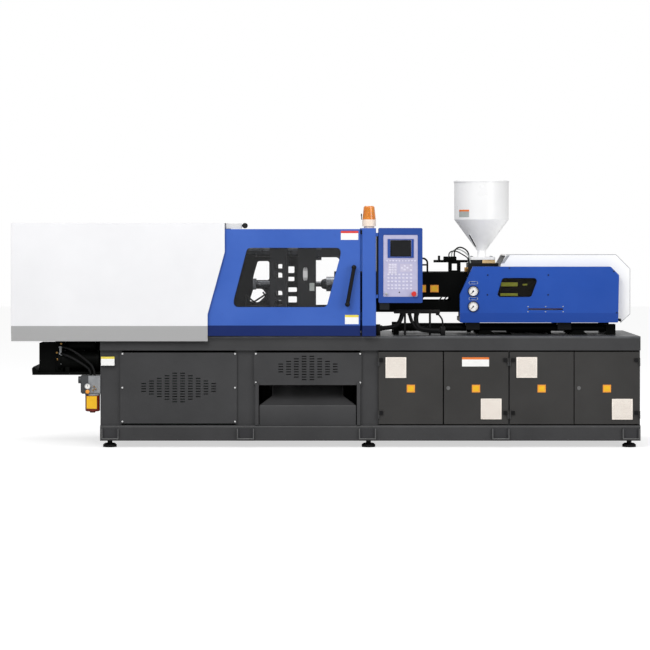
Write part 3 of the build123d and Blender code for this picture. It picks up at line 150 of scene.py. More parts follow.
def newMaterial(name, values):  # a Principled shader with its own values, and the tree to build on
    material = bpy.data.materials.new(name)
    material.use_nodes = True
    materialTree = material.node_tree
    shader = materialTree.nodes["Principled BSDF"]
    for key, value in values.items():
        shader.inputs[key].default_value = value
    place = addNode(materialTree, "ShaderNodeTexCoord")
    return material, materialTree, shader, place.outputs["Object"]


def tintByNoise(materialTree, place, colours, size, detail=3.0):  # cloudy change between two colours
    cloud = addNode(materialTree, "ShaderNodeTexNoise",
                    {"Scale": 1 / (size * mm), "Detail": detail, "Roughness": 0.55}, {"Vector": place})
    ramp = addNode(materialTree, "ShaderNodeValToRGB", None, {"Fac": cloud.outputs["Fac"]})
    ramp.color_ramp.elements[0].position = 0.3
    ramp.color_ramp.elements[0].color = toLinear(colours[0])
    ramp.color_ramp.elements[1].position = 0.7
    ramp.color_ramp.elements[1].color = toLinear(colours[-1])
    return ramp.outputs["Color"]


def bandAt(materialTree, place, axis, edge, above, below, soft=0.0006):  # one colour each side of an edge
    split = addNode(materialTree, "ShaderNodeSeparateXYZ", None, {0: place})
    height = split.outputs[axis[-1]]
    if axis.startswith("-"):
        turned = addNode(materialTree, "ShaderNodeMath", {"operation": "MULTIPLY", 1: -1.0}, {0: height})
        height = turned.outputs[0]
    step = addNode(materialTree, "ShaderNodeMapRange",
                   {"From Min": edge - soft, "From Max": edge + soft}, {"Value": height})
    mix = addNode(materialTree, "ShaderNodeMix", {"data_type": "RGBA"}, {0: step.outputs[0]})
    for socket, colour in ((6, below), (7, above)):
        if isinstance(colour, str):
            mix.inputs[socket].default_value = toLinear(colour)
        else:
            materialTree.links.new(colour, mix.inputs[socket])
    return mix.outputs[2]


def toShader(materialTree, shader, colour, gloss, height, strength, depth):  # colour, gloss and bump
    bump = addNode(materialTree, "ShaderNodeBump", {"Strength": strength, "Distance": depth * mm},
                   {"Height": height.outputs["Fac"]})
    for source, socket in ((colour, "Base Color"), (gloss.outputs[0], "Roughness"),
                           (bump.outputs[0], "Normal")):
        materialTree.links.new(source, shader.inputs[socket])


paintedInsideShade = "#0B0C0D"


def powderCoat(name, colours, grain=1.6, depth=0.05, rough=(0.36, 0.46), bands=(), shine=0.5, shadedInside=0):
    # baked powder coat: fine orange peel, a slow drift of shade, slightly uneven gloss
    material, materialTree, shader, place = newMaterial(name, {"IOR": 1.5, "Specular IOR Level": shine})
    colour = tintByNoise(materialTree, place, colours, 420)
    for axis, edge, below in bands:
        colour = bandAt(materialTree, place, axis, edge, colour, below)
    if shadedInside:  # faces turned to the inside of the machine are painted black: painted shade
        facing = addNode(materialTree, "ShaderNodeNewGeometry")
        sides = (paintedInsideShade, colour) if shadedInside > 0 else (colour, paintedInsideShade)
        colour = bandAt(materialTree, facing.outputs["True Normal"], "Y", 0.4 * shadedInside, *sides, 0.05)
    peel = addNode(materialTree, "ShaderNodeTexNoise", {"Scale": 1 / (grain * mm), "Detail": 2.0},
                   {"Vector": place})
    wide = addNode(materialTree, "ShaderNodeTexNoise", {"Scale": 1 / (160 * mm), "Detail": 3.0},
                   {"Vector": place})
    gloss = addNode(materialTree, "ShaderNodeMapRange",
                    {"From Min": 0.35, "From Max": 0.65, "To Min": rough[0], "To Max": rough[1]},
                    {"Value": wide.outputs["Fac"]})
    toShader(materialTree, shader, colour, gloss, peel, 0.35, depth)
    return material


def workedSteel(name, colours, stretch, rough=(0.22, 0.4), metallic=1.0, line=0.8, depth=0.02, dirt=None):
    # machined or drawn steel: fine lines along the cut, smudges of oil that dull the gloss
    material, materialTree, shader, place = newMaterial(name, {"Metallic": metallic})
    stretched = addNode(materialTree, "ShaderNodeMapping", {"Scale": stretch}, {"Vector": place})
    lines = addNode(materialTree, "ShaderNodeTexNoise",
                    {"Scale": 1 / (line * mm), "Detail": 2.0}, {"Vector": stretched.outputs[0]})
    colour = tintByNoise(materialTree, place, colours, 60)
    if dirt:
        smudge = addNode(materialTree, "ShaderNodeTexNoise", {"Scale": 1 / (90 * mm), "Detail": 5.0},
                         {"Vector": place})
        held = addNode(materialTree, "ShaderNodeMapRange", {"From Min": 0.5, "From Max": 0.72},
                       {"Value": smudge.outputs["Fac"]})
        mix = addNode(materialTree, "ShaderNodeMix", {"data_type": "RGBA", 7: toLinear(dirt)},
                      {0: held.outputs[0], 6: colour})
        colour = mix.outputs[2]
    oil = addNode(materialTree, "ShaderNodeTexNoise", {"Scale": 1 / (35 * mm), "Detail": 4.0},
                  {"Vector": place})
    gloss = addNode(materialTree, "ShaderNodeMapRange",
                    {"From Min": 0.3, "From Max": 0.7, "To Min": rough[0], "To Max": rough[1]},
                    {"Value": oil.outputs["Fac"]})
    toShader(materialTree, shader, colour, gloss, lines, 0.4, depth)
    return material


def mouldedPlastic(name, colours, rough=0.4, grain=0.9, depth=0.03, values=None, bands=()):
    # moulded plastic: spark-eroded grain of the mould, faint flow marks
    material, materialTree, shader, place = newMaterial(name, {"IOR": 1.49, **(values or {})})
    colour = tintByNoise(materialTree, place, colours, 45, 2.0)
    for axis, edge, below in bands:
        colour = bandAt(materialTree, place, axis, edge, colour, below)
    skin = addNode(materialTree, "ShaderNodeTexNoise", {"Scale": 1 / (grain * mm), "Detail": 3.0},
                   {"Vector": place})
    gloss = addNode(materialTree, "ShaderNodeMapRange",
                    {"To Min": rough - 0.06, "To Max": rough + 0.08}, {"Value": skin.outputs["Fac"]})
    toShader(materialTree, shader, colour, gloss, skin, 0.4, depth)
    return material


def printedFilm(name, colours):  # printed vinyl film: smooth, thin, half gloss, one flat colour
    return mouldedPlastic(name, colours, 0.38, grain=0.5, depth=0.01)


# Sheet steel and castings, painted
dullCoat = {"grain": 2.4, "depth": 0.09, "rough": (0.42, 0.54), "shine": 0.2}
gateCoat = {"colours": ("#355CB2", "#3D64BA"), "bands": [("Z", 0.895, "#04205E")], "rough": (0.3, 0.4),
            "shine": 0.3}

# textured powder coat, baked: orange peel that breaks up the light, low gloss
greyPowderCoat = powderCoat("greyPowderCoat", ("#3A3A3B", "#424243"), **dullCoat)
# the same textured coat on the doors, a shade browner
doorPowderCoat = powderCoat("doorPowderCoat", ("#353433", "#3D3C3B"), **dullCoat)
# the same coat on thick brackets, so it runs smoother and shines a little more
bracketPaint = powderCoat("bracketPaint", ("#303032", "#38383A"), grain=2.4, depth=0.09, shine=0.3)
# smooth white powder coat with a grey masked band along the foot: soft, clean gloss
whitePowderCoat = powderCoat("whitePowderCoat", ("#E9E9EB", "#EEEEF0"), rough=(0.34, 0.42),
                             bands=[("Z", 0.8925, "#ABABAB")])
# sprayed stoving enamel on a rolled shell: glossier than powder; below the cone's seam it is painted pure
# white, painted light that lifts the shade on the downward-facing cone
hopperEnamel = powderCoat("hopperEnamel", ("#EFEFEF", "#F5F5F5"), grain=2.0, rough=(0.26, 0.34),
                          bands=[("Z", 1.671, "#FFFFFF")])
# the same enamel on flat sheet, a little duller for want of a curve, and painted brighter: painted light that
# lifts the shade on the rear cover
rearEnamelBrightened = powderCoat("rearEnamelBrightened", ("#F8F8F7", "#FDFDFC"), grain=2.0, rough=(0.3, 0.38))
# blue powder coat over a masked navy band: even shade, sharp change of colour; the gates' inner faces are
# painted black as painted shade
gateBlue = powderCoat("gateBlue", **gateCoat)
frontGateBlue = powderCoat("frontGateBlue", shadedInside=1, **gateCoat)
rearGateBlue = powderCoat("rearGateBlue", shadedInside=-1, **gateCoat)
# blue powder coat on the control box, whose foot and side are black
boxBlue = powderCoat("boxBlue", ("#204492", "#284C9A"), rough=(0.3, 0.4), shine=0.3,
                     bands=[("Z", 1.0605, "#101416"), ("X", 0.3806, "#0E0E10")])
# a deeper blue coat with a darker band at the foot
coverBlue = powderCoat("coverBlue", ("#1748A2", "#1E4EAA"), bands=[("Z", 0.979, "#12429A")],
                       rough=(0.32, 0.42), shine=0.3)
# black stoving enamel, matt: hides its form, and shows light at the edges alone
blackEnamel = powderCoat("blackEnamel", ("#040504", "#080908"), grain=2.0, rough=(0.48, 0.6), shine=0.05)
# black enamel on the gate's rails, with the pale case of the limit switch at the left end
switchEnamel = powderCoat("switchEnamel", ("#CDCDCD", "#D8D8D8"), shine=0.3,
                          bands=[("Z", 1.6012, "#101110"), ("-X", 0.6155, "#101110")])
# paint brushed over sand-cast iron: the sand's coarse grain still shows
castingPaint = powderCoat("castingPaint", ("#101113", "#17181B"), grain=4.5, depth=0.5, rough=(0.4, 0.55),
                          shine=0.2)
# machinery enamel on motor and tank: dark green over a slight casting grain
machineGreen = powderCoat("machineGreen", ("#1E4A40", "#26584C"), grain=3.0, depth=0.2)

# Metals
# rolled plate under a thin grey wash: long faint lines, dull smudges
deckPlate = workedSteel("deckPlate", ("#515254", "#5A5B5D"), (0.06, 1, 1), rough=(0.3, 0.4), metallic=0.3,
                        dirt="#48494B")
# ground forgings kept in oil: lines of the wheel, dark film in patches
oiledSteel = workedSteel("oiledSteel", ("#6E7074", "#84868A"), (0.1, 1, 1), dirt="#34363A")
# drawn and hardened bar: dark, with long reflections
darkSteel = workedSteel("darkSteel", ("#26272A", "#34363A"), (0.06, 1, 1), rough=(0.24, 0.42), dirt="#141517")
# zinc plating: bright, even and slightly milky
zincPlate = workedSteel("zincPlate", ("#B4B6B8", "#C6C8CA"), (1, 1, 1), rough=(0.25, 0.4))
# turned brass: warm, with fine rings along the bar
brass = workedSteel("brass", ("#8E6C3A", "#A88450"), (1, 1, 0.2), rough=(0.24, 0.4))

# Plastics, rubber, and painted parts too small to show their coat
dullBlack = {"Specular IOR Level": 0.2}
# injection-moulded ABS, black: fine spark grain, little shine
blackPlastic = mouldedPlastic("blackPlastic", ("#0C0C0D", "#121214"), 0.42, values=dullBlack)
# extruded nitrile rubber: dull, with a faint pebbled skin
hoseRubber = mouldedPlastic("hoseRubber", ("#0B0B0C", "#121213"), 0.55, grain=1.8, depth=0.12,
                            values=dullBlack)
# grey for the lock heads, and painted highlights along the ledge, the chute's fold and the bracket lips: a
# grey line of light
lockGreyAndHighlights = mouldedPlastic("lockGreyAndHighlights", ("#5E5E5E", "#6C6C6C"), 0.4)
# die-cast housings under a thin grey lacquer: soft, with a coarser grain than plastic; the same grey gives
# the painted light on the rear cover's slanted end and the painted shade along its right edge
castAndEdgeGrey = mouldedPlastic("castAndEdgeGrey", ("#8E9092", "#9EA0A2"), 0.45, grain=1.6, depth=0.1)
# the pump's casting, with its motor half in dark grey
pumpCasting = mouldedPlastic("pumpCasting", ("#85878A", "#96989A"), 0.45, grain=1.6, depth=0.1,
                             bands=[("X", -1.742, "#3E4042")])
# moulded polycarbonate, cream: smooth and a little glossy
beaconBody = mouldedPlastic("beaconBody", ("#EFDCCB", "#F4E4D5"), 0.34)
# polyester keypad film with a velvet print: flat, pale violet grey
membrane = mouldedPlastic("membrane", ("#B0AECC", "#B8B6D2"), 0.5, grain=0.6, depth=0.015)
# embossed keys in the same film: lighter, with a soft edge
keyWhite = mouldedPlastic("keyWhite", ("#D2D0E2", "#D9D7E8"), 0.42)
keyGrey = mouldedPlastic("keyGrey", ("#B9B4CC", "#C3BED4"), 0.42)
# polished nylon button: clear highlight on a strong red
stopRed = mouldedPlastic("stopRed", ("#C42A26", "#CE322C"), 0.28)
# machined acetal block, tan, with a black half
tanAcetal = mouldedPlastic("tanAcetal", ("#DDBB84", "#E8C892"), 0.4, bands=[("X", 1.170, "#121110")])
labelWhite = printedFilm("labelWhite", ("#F2F2F0", "#F8F8F6"))
labelYellow = printedFilm("labelYellow", ("#E6D24A", "#EEDA58"))
labelGold = printedFilm("labelGold", ("#EDB40C", "#F4BE18"))
labelOrange = printedFilm("labelOrange", ("#E0702A", "#EA7E34"))
labelAmber = printedFilm("labelAmber", ("#EC962A", "#F4A238"))
labelRed = printedFilm("labelRed", ("#D23A36", "#DC4640"))
labelGrey = printedFilm("labelGrey", ("#A2A8A4", "#B0B6B2"))
# moulded ABS in pale grey and in cream: soft, even gloss
paleGrey = mouldedPlastic("paleGrey", ("#CFCFCF", "#DADADA"), 0.4)
grilleCream = mouldedPlastic("grilleCream", ("#F2E8DE", "#F8F0E6"), 0.4)
# enamelled dial card under glass: white and even
dialWhite = mouldedPlastic("dialWhite", ("#F0EEEA", "#F6F4F0"), 0.35, grain=0.5, depth=0.01)
# dyed nylon strips: strong lime that shows through smoked sheet
stripLime = mouldedPlastic("stripLime", ("#C6CC40", "#D4DA4C"), 0.34)
# printed plastic scale, dark brown: reads as a shadow in its slot
scaleBrown = mouldedPlastic("scaleBrown", ("#34140F", "#3E1812"), 0.4)
# blown nylon tank filled with oil: deep red brown with a little light through it
reservoirTint = mouldedPlastic("reservoirTint", ("#6E1A06", "#86240A"), 0.22,
                               values={"Transmission Weight": 0.25})
# moulded acrylic lens: amber glow, wavy inside, glossy outside
amberLens = mouldedPlastic("amberLens", ("#F08C14", "#FFA428"), 0.16, grain=3.0, depth=0.2,
                           values={"Transmission Weight": 0.45, "Coat Weight": 0.5})
# cast acrylic sheet, clear: hardly there, apart from a weak reflection
clearSheet = mouldedPlastic("clearSheet", ("#F8FAFC", "#FCFCFE"), 0.06, grain=40.0, depth=0.005,
                            values={"Alpha": 0.012, "Specular IOR Level": 0.2})
# cast acrylic sheet, smoked: darkens what lies behind it
smokedSheet = mouldedPlastic("smokedSheet", ("#120F08", "#18150C"), 0.1, grain=40.0, depth=0.005,
                             values={"Alpha": 0.3, "Specular IOR Level": 0.3})
# hardened glass over a switched-off display: near black, and the lit field inside it a shade lighter
screenGlass = mouldedPlastic("screenGlass", ("#141518", "#191A1D"), 0.2, grain=20.0, depth=0.005,
                             values=dullBlack)
screenField = mouldedPlastic("screenField", ("#17181A", "#1D1E20"), 0.3, grain=0.4, values=dullBlack)

byNode = {
    greyPowderCoat: ["base_frame", "front_panels", "rear_panels", "product_chute"],
    doorPowderCoat: ["door_1", "door_2", "door_3", "door_4"],
    deckPlate: ["deck", "electrical_plate"],
    whitePowderCoat: ["clamp_cover"],
    hopperEnamel: ["hopper", "hopper_lid"],
    rearEnamelBrightened: ["rear_cover"],
    gateBlue: ["gate_column"],
    frontGateBlue: ["safety_gate_front"],
    rearGateBlue: ["safety_gate_rear"],
    boxBlue: ["control_box"],
    coverBlue: ["injection_cover"],
    blackEnamel: ["barrel_guard", "injection_bed", "oil_cooler"],
    switchEnamel: ["gate_rails"],
    castingPaint: ["fixed_platen", "tail_platen", "moving_platen", "injection_carriage", "injection_plate"],
    oiledSteel: ["adjusting_nuts", "rear_link_upper", "rear_link_lower", "front_link_upper",
                 "front_link_lower", "cross_link_upper", "cross_link_lower", "crosshead", "clamp_cylinder",
                 "ejector", "screw", "barrel", "beacon_reflector"],
    lockGreyAndHighlights: ["left_door_lock", "right_door_lock"],
    pumpCasting: ["lube_pump"],
    bracketPaint: ["lifting_brackets"],
    darkSteel: ["tie_bars"],
    clearSheet: ["gate_window_front", "gate_window_rear"],
    blackPlastic: ["gate_handle_front", "upper_gauge_needle", "lower_gauge_needle"],
    hoseRubber: ["levelling_feet", "hoses"],
    beaconBody: ["beacon_base"],
    amberLens: ["beacon_lens"],
    reservoirTint: ["lube_reservoir"],
    membrane: ["operator_panel"],
    stopRed: ["stop_button"],
    machineGreen: ["power_pack"],
    tanAcetal: ["hopper_base"],
}
for material, names in byNode.items():
    for nodeName in names:
        data = nodes[nodeName].data
        data.materials.clear()
        data.materials.append(material)
        for face in data.polygons:
            face.material_index = 0
print("materials on every carried node")


# Modelling helpers

def roundedBox(shape, low, high, radius=0.0, segments=2):  # box between two corners, edges rounded
    made = bmesh.ops.create_cube(shape, size=1.0)["verts"]
    size = [(h - l) * mm for l, h in zip(low, high)]
    centre = [(h + l) / 2 * mm for l, h in zip(low, high)]
    bmesh.ops.scale(shape, vec=size, verts=made)
    bmesh.ops.translate(shape, vec=centre, verts=made)
    if radius:
        edges = list({e for v in made for e in v.link_edges})
        made = bmesh.ops.bevel(shape, geom=edges, offset=radius * mm, offset_type="OFFSET", segments=segments,
                               profile=0.5, affect="EDGES", material=-1, clamp_overlap=True)["verts"]
    return made


def roundBar(shape, start, end, radius, sides=24, bevel=0.0):  # capped bar between two points
    a, b = Vector(start) * mm, Vector(end) * mm
    made = bmesh.ops.create_cone(shape, cap_ends=True, segments=sides, radius1=radius * mm,
                                 radius2=radius * mm, depth=(b - a).length)["verts"]
    turn = (b - a).to_track_quat("Z", "Y").to_matrix().to_4x4()
    bmesh.ops.transform(shape, matrix=Matrix.Translation((a + b) / 2) @ turn, verts=made)
    if bevel:
        rims = [e for e in {e for v in made for e in v.link_edges}
                if any(len(f.verts) > 4 for f in e.link_faces)]
        bmesh.ops.bevel(shape, geom=rims, offset=bevel * mm, offset_type="OFFSET", segments=2, profile=0.5,
                        affect="EDGES", material=-1, clamp_overlap=True)
    return made


def washer(shape, centre, direction, outer, inner, thick, sides=32):  # flat ring with a real hole
    edge = [shape.verts.new((r * mm, 0, z * mm)) for r, z in
            ((inner, 0), (outer, 0), (outer, thick), (inner, thick))]
    rim = [shape.edges.new((edge[i], edge[(i + 1) % 4])) for i in range(4)]
    made = bmesh.ops.spin(shape, geom=edge + rim, axis=(0, 0, 1), cent=(0, 0, 0), angle=math.tau,
                          steps=sides, use_merge=True)
    ring = {g for g in made["geom_last"] + edge if isinstance(g, bmesh.types.BMVert)}
    while True:
        more = {e.other_vert(v) for v in ring for e in v.link_edges} - ring
        if not more:
            break
        ring |= more
    turn = Vector(direction).to_track_quat("Z", "Y").to_matrix().to_4x4()
    bmesh.ops.transform(shape, matrix=Matrix.Translation(Vector(centre) * mm) @ turn, verts=list(ring))


sharpAngle = math.radians(35)


def finishPiece(name, shape, material, body):  # the shape becomes an object that rides on its body
    bmesh.ops.recalc_face_normals(shape, faces=shape.faces[:])
    data = bpy.data.meshes.new(name)
    shape.to_mesh(data)
    shape.free()
    for found in material if isinstance(material, (list, tuple)) else [material]:
        data.materials.append(found)
    data.shade_smooth()
    data.set_sharp_from_angle(angle=sharpAngle)
    piece = bpy.data.objects.new(name, data)
    bpy.context.scene.collection.objects.link(piece)
    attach(piece, body)
    return piece


def thicken(shape, faces, depth):  # flat faces, made as thick as the depth vector
    raised = bmesh.ops.extrude_face_region(shape, geom=faces)
    bmesh.ops.translate(shape, vec=Vector(depth) * mm,
                        verts=[g for g in raised["geom"] if isinstance(g, bmesh.types.BMVert)])


def slab(shape, outline, depth):  # flat outline in space, given a thickness
    thicken(shape, [shape.faces.new([shape.verts.new(Vector(p) * mm) for p in outline])], depth)


def colourFaces(made, index):  # gives the faces of these points a material slot
    for face in {f for v in made for f in v.link_faces}:
        face.material_index = index


def boxPiece(name, boxes, material, body):  # boxes as low corner, high corner, radius, segments
    shape = bmesh.new()
    for box in boxes:
        roundedBox(shape, *box)
    finishPiece(name, shape, material, body)


def studPiece(name, places, back, front, form, material, body):  # studs that stand out to the front
    shape = bmesh.new()
    for x, z in places:
        roundBar(shape, (x, back, z), (x, front, z), *form)
    finishPiece(name, shape, material, body)


def borderedPlate(shape, x, z, half, tall, outer, inner, soft):  # plain field with a border 9 mm wide
    for index, inset, (front, back), radius in ((0, 0, outer, soft), (1, 9, inner, soft / 2)):
        made = roundedBox(shape, (x - half + inset, front, z - tall + inset),
                          (x + half - inset, back, z + tall - inset), radius, 1)
        colourFaces(made, index)


# Bare plates where the machine carries its printed signs: plain coloured fields

platesOnBase = [  # left, right, bottom, top, header height, header material, body, face Y
    ("plateBaseLeft", -1649, -1550, 600, 665, 16, labelYellow, "root", -500),
    ("plateDoorWide", 994, 1192, 593, 660, 16, labelOrange, "door_2", -490),
    ("plateGateTop", 106, 234, 1520, 1586, 17, labelRed, "front_gate", -538),
    ("plateGateLow", 136, 236, 905, 972, 17, labelYellow, "front_gate", -538),
]
for name, left, right, bottom, top, header, headerMaterial, body, face in platesOnBase:
    shape = bmesh.new()
    colourFaces(roundedBox(shape, (left, face - 0.8, bottom), (right, face - 0.02, top - header), 0.3, 1), 0)
    colourFaces(roundedBox(shape, (left, face - 0.8, top - header), (right, face - 0.02, top), 0.3, 1), 1)
    finishPiece(name, shape, [labelWhite, headerMaterial], body)

bareYellow = {"places": [(619, "door_1"), (1096, "door_2"), (1577, "door_3"), (2055, "door_4")],
              "height": 431, "halfWide": 30, "halfTall": 28, "outer": (-490.7, -490.02),
              "inner": (-491, -490.6)}
for x, body in bareYellow["places"]:
    shape = bmesh.new()
    borderedPlate(shape, x, bareYellow["height"], bareYellow["halfWide"], bareYellow["halfTall"],
                  bareYellow["outer"], bareYellow["inner"], 0.3)
    finishPiece("plateYellow." + body, shape, [labelAmber, labelGold], body)
print("bare plates placed")

# Cabinet doors: thin frame and blades of each filter grille, laid over the cast grille of the door

grille = {"places": {"door_1": (509.5, 585), "door_2": (1207, 282), "door_3": (1467.7, 586),
                     "door_4": (2167, 280)},
          "half": 76, "border": 9, "front": -498.2, "back": -490.1,
          "blades": 18, "halfBlade": 3.2, "bladeFront": -497.6, "bladeBack": -496.2, "tilt": -14}
half, inner = grille["half"], grille["half"] - grille["border"]
tilt = Matrix.Rotation(math.radians(grille["tilt"]), 4, "X")
for body, (x, z) in grille["places"].items():
    shape = bmesh.new()
    for left, low, right, high in ((-half, -half, -inner, half), (inner, -half, half, half),
                                   (-inner - 0.5, -half, inner + 0.5, -inner),
                                   (-inner - 0.5, inner, inner + 0.5, half)):
        roundedBox(shape, (x + left, grille["front"], z + low), (x + right, grille["back"], z + high), 2.0, 2)
    for i in range(grille["blades"]):
        level = z - inner + (i + 0.5) * 2 * inner / grille["blades"]
        made = roundedBox(shape, (x - inner - 1, grille["bladeFront"], level - grille["halfBlade"]),
                          (x + inner + 1, grille["bladeBack"], level + grille["halfBlade"]), 0.4, 1)
        middle = (grille["bladeFront"] + grille["bladeBack"]) / 2
        centre = Matrix.Translation((x * mm, middle * mm, level * mm))
        bmesh.ops.transform(shape, matrix=centre @ tilt @ centre.inverted(), verts=made)
    finishPiece("grille." + body, shape, grilleCream, body)
print("grilles done")

# Safety gates: rubber rims of the windows, and screws

gateWindow = {"points": [(-577, 1462), (105, 1462), (105, 1416), (2, 1030), (-676, 1030), (-676, 1080)],
              "corner": 32, "rim": 9}


def roundedLoop(points, corner, steps=6):  # outline points with each corner rounded by a bevelled loop
    loop = bmesh.new()
    ring = [loop.verts.new((x * mm, 0, z * mm)) for x, z in points]
    face = loop.faces.new(ring)
    bmesh.ops.bevel(loop, geom=ring, offset=corner * mm, offset_type="OFFSET", segments=steps, profile=0.5,
                    affect="VERTICES", material=-1, clamp_overlap=True)
    loop.faces.ensure_lookup_table()
    found = [v.co.copy() for v in loop.faces[0].verts]
    loop.free()
    return found


# The strip along an outline comes out with no width: its face has no normal yet when it is inset.
# face.normal_update() before inset_region would give it the width.
def rimAlong(shape, points, corner, width, front, back):
    outline = roundedLoop(points, corner)
    ring = [shape.verts.new((p.x, back * mm, p.z)) for p in outline]
    face = shape.faces.new(ring)
    strip = bmesh.ops.inset_region(shape, faces=[face], use_boundary=True, thickness=width * mm,
                                   use_even_offset=True)["faces"]
    bmesh.ops.delete(shape, geom=[face], context="FACES_ONLY")
    thicken(shape, strip, (0, front - back, 0))


def cutSheet(shape, outline, holes, corner, front, back):  # upright sheet with rounded holes through it
    loops = [[Vector((x * mm, 0, z * mm)) for x, z in outline]]
    loops += [roundedLoop(hole, corner) for hole in holes]
    edges = []
    for loop in loops:
        ring = [shape.verts.new((p.x, back * mm, p.z)) for p in loop]
        edges += [shape.edges.new((ring[i - 1], ring[i])) for i in range(len(ring))]
    filled = [g for g in bmesh.ops.triangle_fill(shape, edges=edges, use_beauty=True)["geom"]
              if isinstance(g, bmesh.types.BMFace)]
    thicken(shape, filled, (0, front - back, 0))


rearWindow = [(-535, 1380), (105, 1380), (105, 1334), (30, 1011), (-600, 1011), (-600, 1060)]
for side, body, name, points in ((-1, "front_gate", "gateRimFront", gateWindow["points"]),
                                 (1, "rear_gate", "gateRimRear", rearWindow)):
    shape = bmesh.new()
    rimAlong(shape, points, gateWindow["corner"], gateWindow["rim"], side * 539.6, side * 538.05)
    finishPiece(name, shape, hoseRubber, body)

gateScrews = [(-690, 1560), (-300, 1560), (60, 1560), (-760, 980), (-300, 960), (60, 960)]
studPiece("gateScrews", gateScrews, -538.05, -541, (5, 16, 1.0), gateBlue, "front_gate")
print("gate dressed")

# Operator panel: screen, keys, indicator

panel = {"face": -569.0, "keyHigh": 2.4, "screen": (466.5, 618.5, 1398.5, 1519.5), "lamp": (532.5, 1138, 5),
         "stopPlate": (638, 1127, 17.6), "keySwitch": (437, 1127, 9.4)}
left, right, bottom, top = panel["screen"]
boxPiece("screenPane", [((left, -571.2, bottom), (right, panel["face"] - 0.02, top), 0.8, 2)], screenGlass,
         "control_box")
boxPiece("screenField", [((left + 9, -571.5, bottom + 8), (right - 9, -571.15, top - 8), 0.1, 1)],
         screenField, "control_box")
bezel = [(446.5, 1389.5, 465.5, 1526.5), (619.5, 1389.5, 637.5, 1526.5), (465, 1389.5, 620, 1397.6),
         (465, 1520.4, 620, 1526.5)]
boxPiece("screenBezel", [((left, -574, low), (right, -573.02, high), 0.3, 1)
                         for left, low, right, high in bezel], boxBlue, "control_box")

keys = {"top": [(442 + 22.7 * i, 1367.6, 6.5, 5) for i in range(10)],
        "number": [(463 + 20 * i, 1338 - 18.5 * j, 8.4, 7.4) for i in range(3) for j in range(4)],
        "move": [(571, 1329, 7.4, 6.4), (551, 1316, 7.4, 6.4), (591, 1316, 7.4, 6.4), (571, 1303, 7.4, 6.4),
                 (617, 1334, 7.4, 6.4), (617, 1300, 7.4, 6.4)],
        "grid": [(x, z, 8.2, 6.2) for x in (453, 478.6, 506.3, 532.5, 561.7, 587.9, 617)
                 for z in (1267.8, 1242.3, 1216.8, 1189.1, 1166)]}
for group, places in keys.items():
    shape = bmesh.new()
    for x, z, halfWide, halfTall in places:
        roundedBox(shape, (x - halfWide, panel["face"] - panel["keyHigh"], z - halfTall),
                   (x + halfWide, panel["face"] - 0.02, z + halfTall), 1.6, 2)
    finishPiece("keys." + group, shape, keyWhite, "control_box")
keyFields = [(449, 1274, 517, 1350), (538, 1288, 630, 1346), (436, 1374, 650, 1375.2),
             (436, 1280.2, 448, 1281.4)]
boxPiece("keyFields", [((left, panel["face"] - 0.6, low), (right, panel["face"] - 0.02, high), 0.2, 1)
                       for left, low, right, high in keyFields], keyGrey, "control_box")
shape = bmesh.new()
x, z, radius = panel["lamp"]
roundBar(shape, (x, panel["face"] - 0.02, z), (x, panel["face"] - 3, z), radius, 20, 1.0)
x, z, radius = panel["stopPlate"]
roundBar(shape, (x, -573.02, z), (x, -575.2, z), radius, 40, 0.8)
finishPiece("panelLamp", shape, blackPlastic, "control_box")
shape = bmesh.new()
x, z, radius = panel["keySwitch"]
roundBar(shape, (x, -577.0, z), (x, -580.2, z), radius, 28, 0.8)
roundedBox(shape, (x - 1.4, -586, z - 8), (x + 1.4, -580.1, z + 8), 1.0, 2)
finishPiece("keySwitch", shape, zincPlate, "control_box")
print("operator panel dressed")

# Pressure gauges: dial, ticks and ring, and the bare plates above them

gauge = {"x": 1087, "heights": (1140, 1027), "radius": 34.6, "hub": 6.2, "face": -330.0, "ticks": 28,
         "start": 225, "sweep": 270, "long": (24, 0.9), "short": (27.5, 0.5), "tickEnd": 31.5}
for z, name in zip(gauge["heights"], ("upper", "lower")):
    shape = bmesh.new()
    washer(shape, (gauge["x"], gauge["face"] - 1.06, z), (0, -1, 0), gauge["radius"], gauge["hub"], 0.8, 48)
    finishPiece("dial." + name, shape, dialWhite, "carriage")
    shape = bmesh.new()
    for i in range(gauge["ticks"]):
        turn = math.radians(gauge["start"] - gauge["sweep"] * i / (gauge["ticks"] - 1))
        reach, wide = gauge["long"] if i % 3 == 0 else gauge["short"]
        made = roundedBox(shape, (reach, gauge["face"] - 2.2, -wide),
                          (gauge["tickEnd"], gauge["face"] - 1.84, wide), 0.1, 1)
        spin = Matrix.Translation((gauge["x"] * mm, 0, z * mm)) @ Matrix.Rotation(-turn, 4, "Y")
        bmesh.ops.transform(shape, matrix=spin, verts=made)
    finishPiece("dialTicks." + name, shape, blackPlastic, "carriage")
    shape = bmesh.new()
    washer(shape, (gauge["x"], gauge["face"] - 8.02, z), (0, -1, 0), 40.2, 34.9, 3.2, 48)
    finishPiece("gaugeRing." + name, shape, darkSteel, "carriage")

pills = {"places": [(1087, 1202), (1087, 1085)], "back": -330.02,
         "layers": [(34, 10.5, -330.8), (31, 7.5, -331.2)]}  # half width, half height and front of each
for i, (x, z) in enumerate(pills["places"]):
    shape = bmesh.new()
    for index, (wide, tall, front) in enumerate(pills["layers"]):
        for end in (x - wide + tall, x + wide - tall):
            colourFaces(roundBar(shape, (end, pills["back"], z), (end, front, z), tall, 20), index)
        colourFaces(roundedBox(shape, (x - wide + tall, front, z - tall),
                               (x + wide - tall, pills["back"], z + tall)), index)
    finishPiece("gaugePlate.%d" % i, shape, [labelGrey, coverBlue], "carriage")
print("gauges done")

# Injection cover: window with trim, the strips seen through it, scale strip, rivets and screws

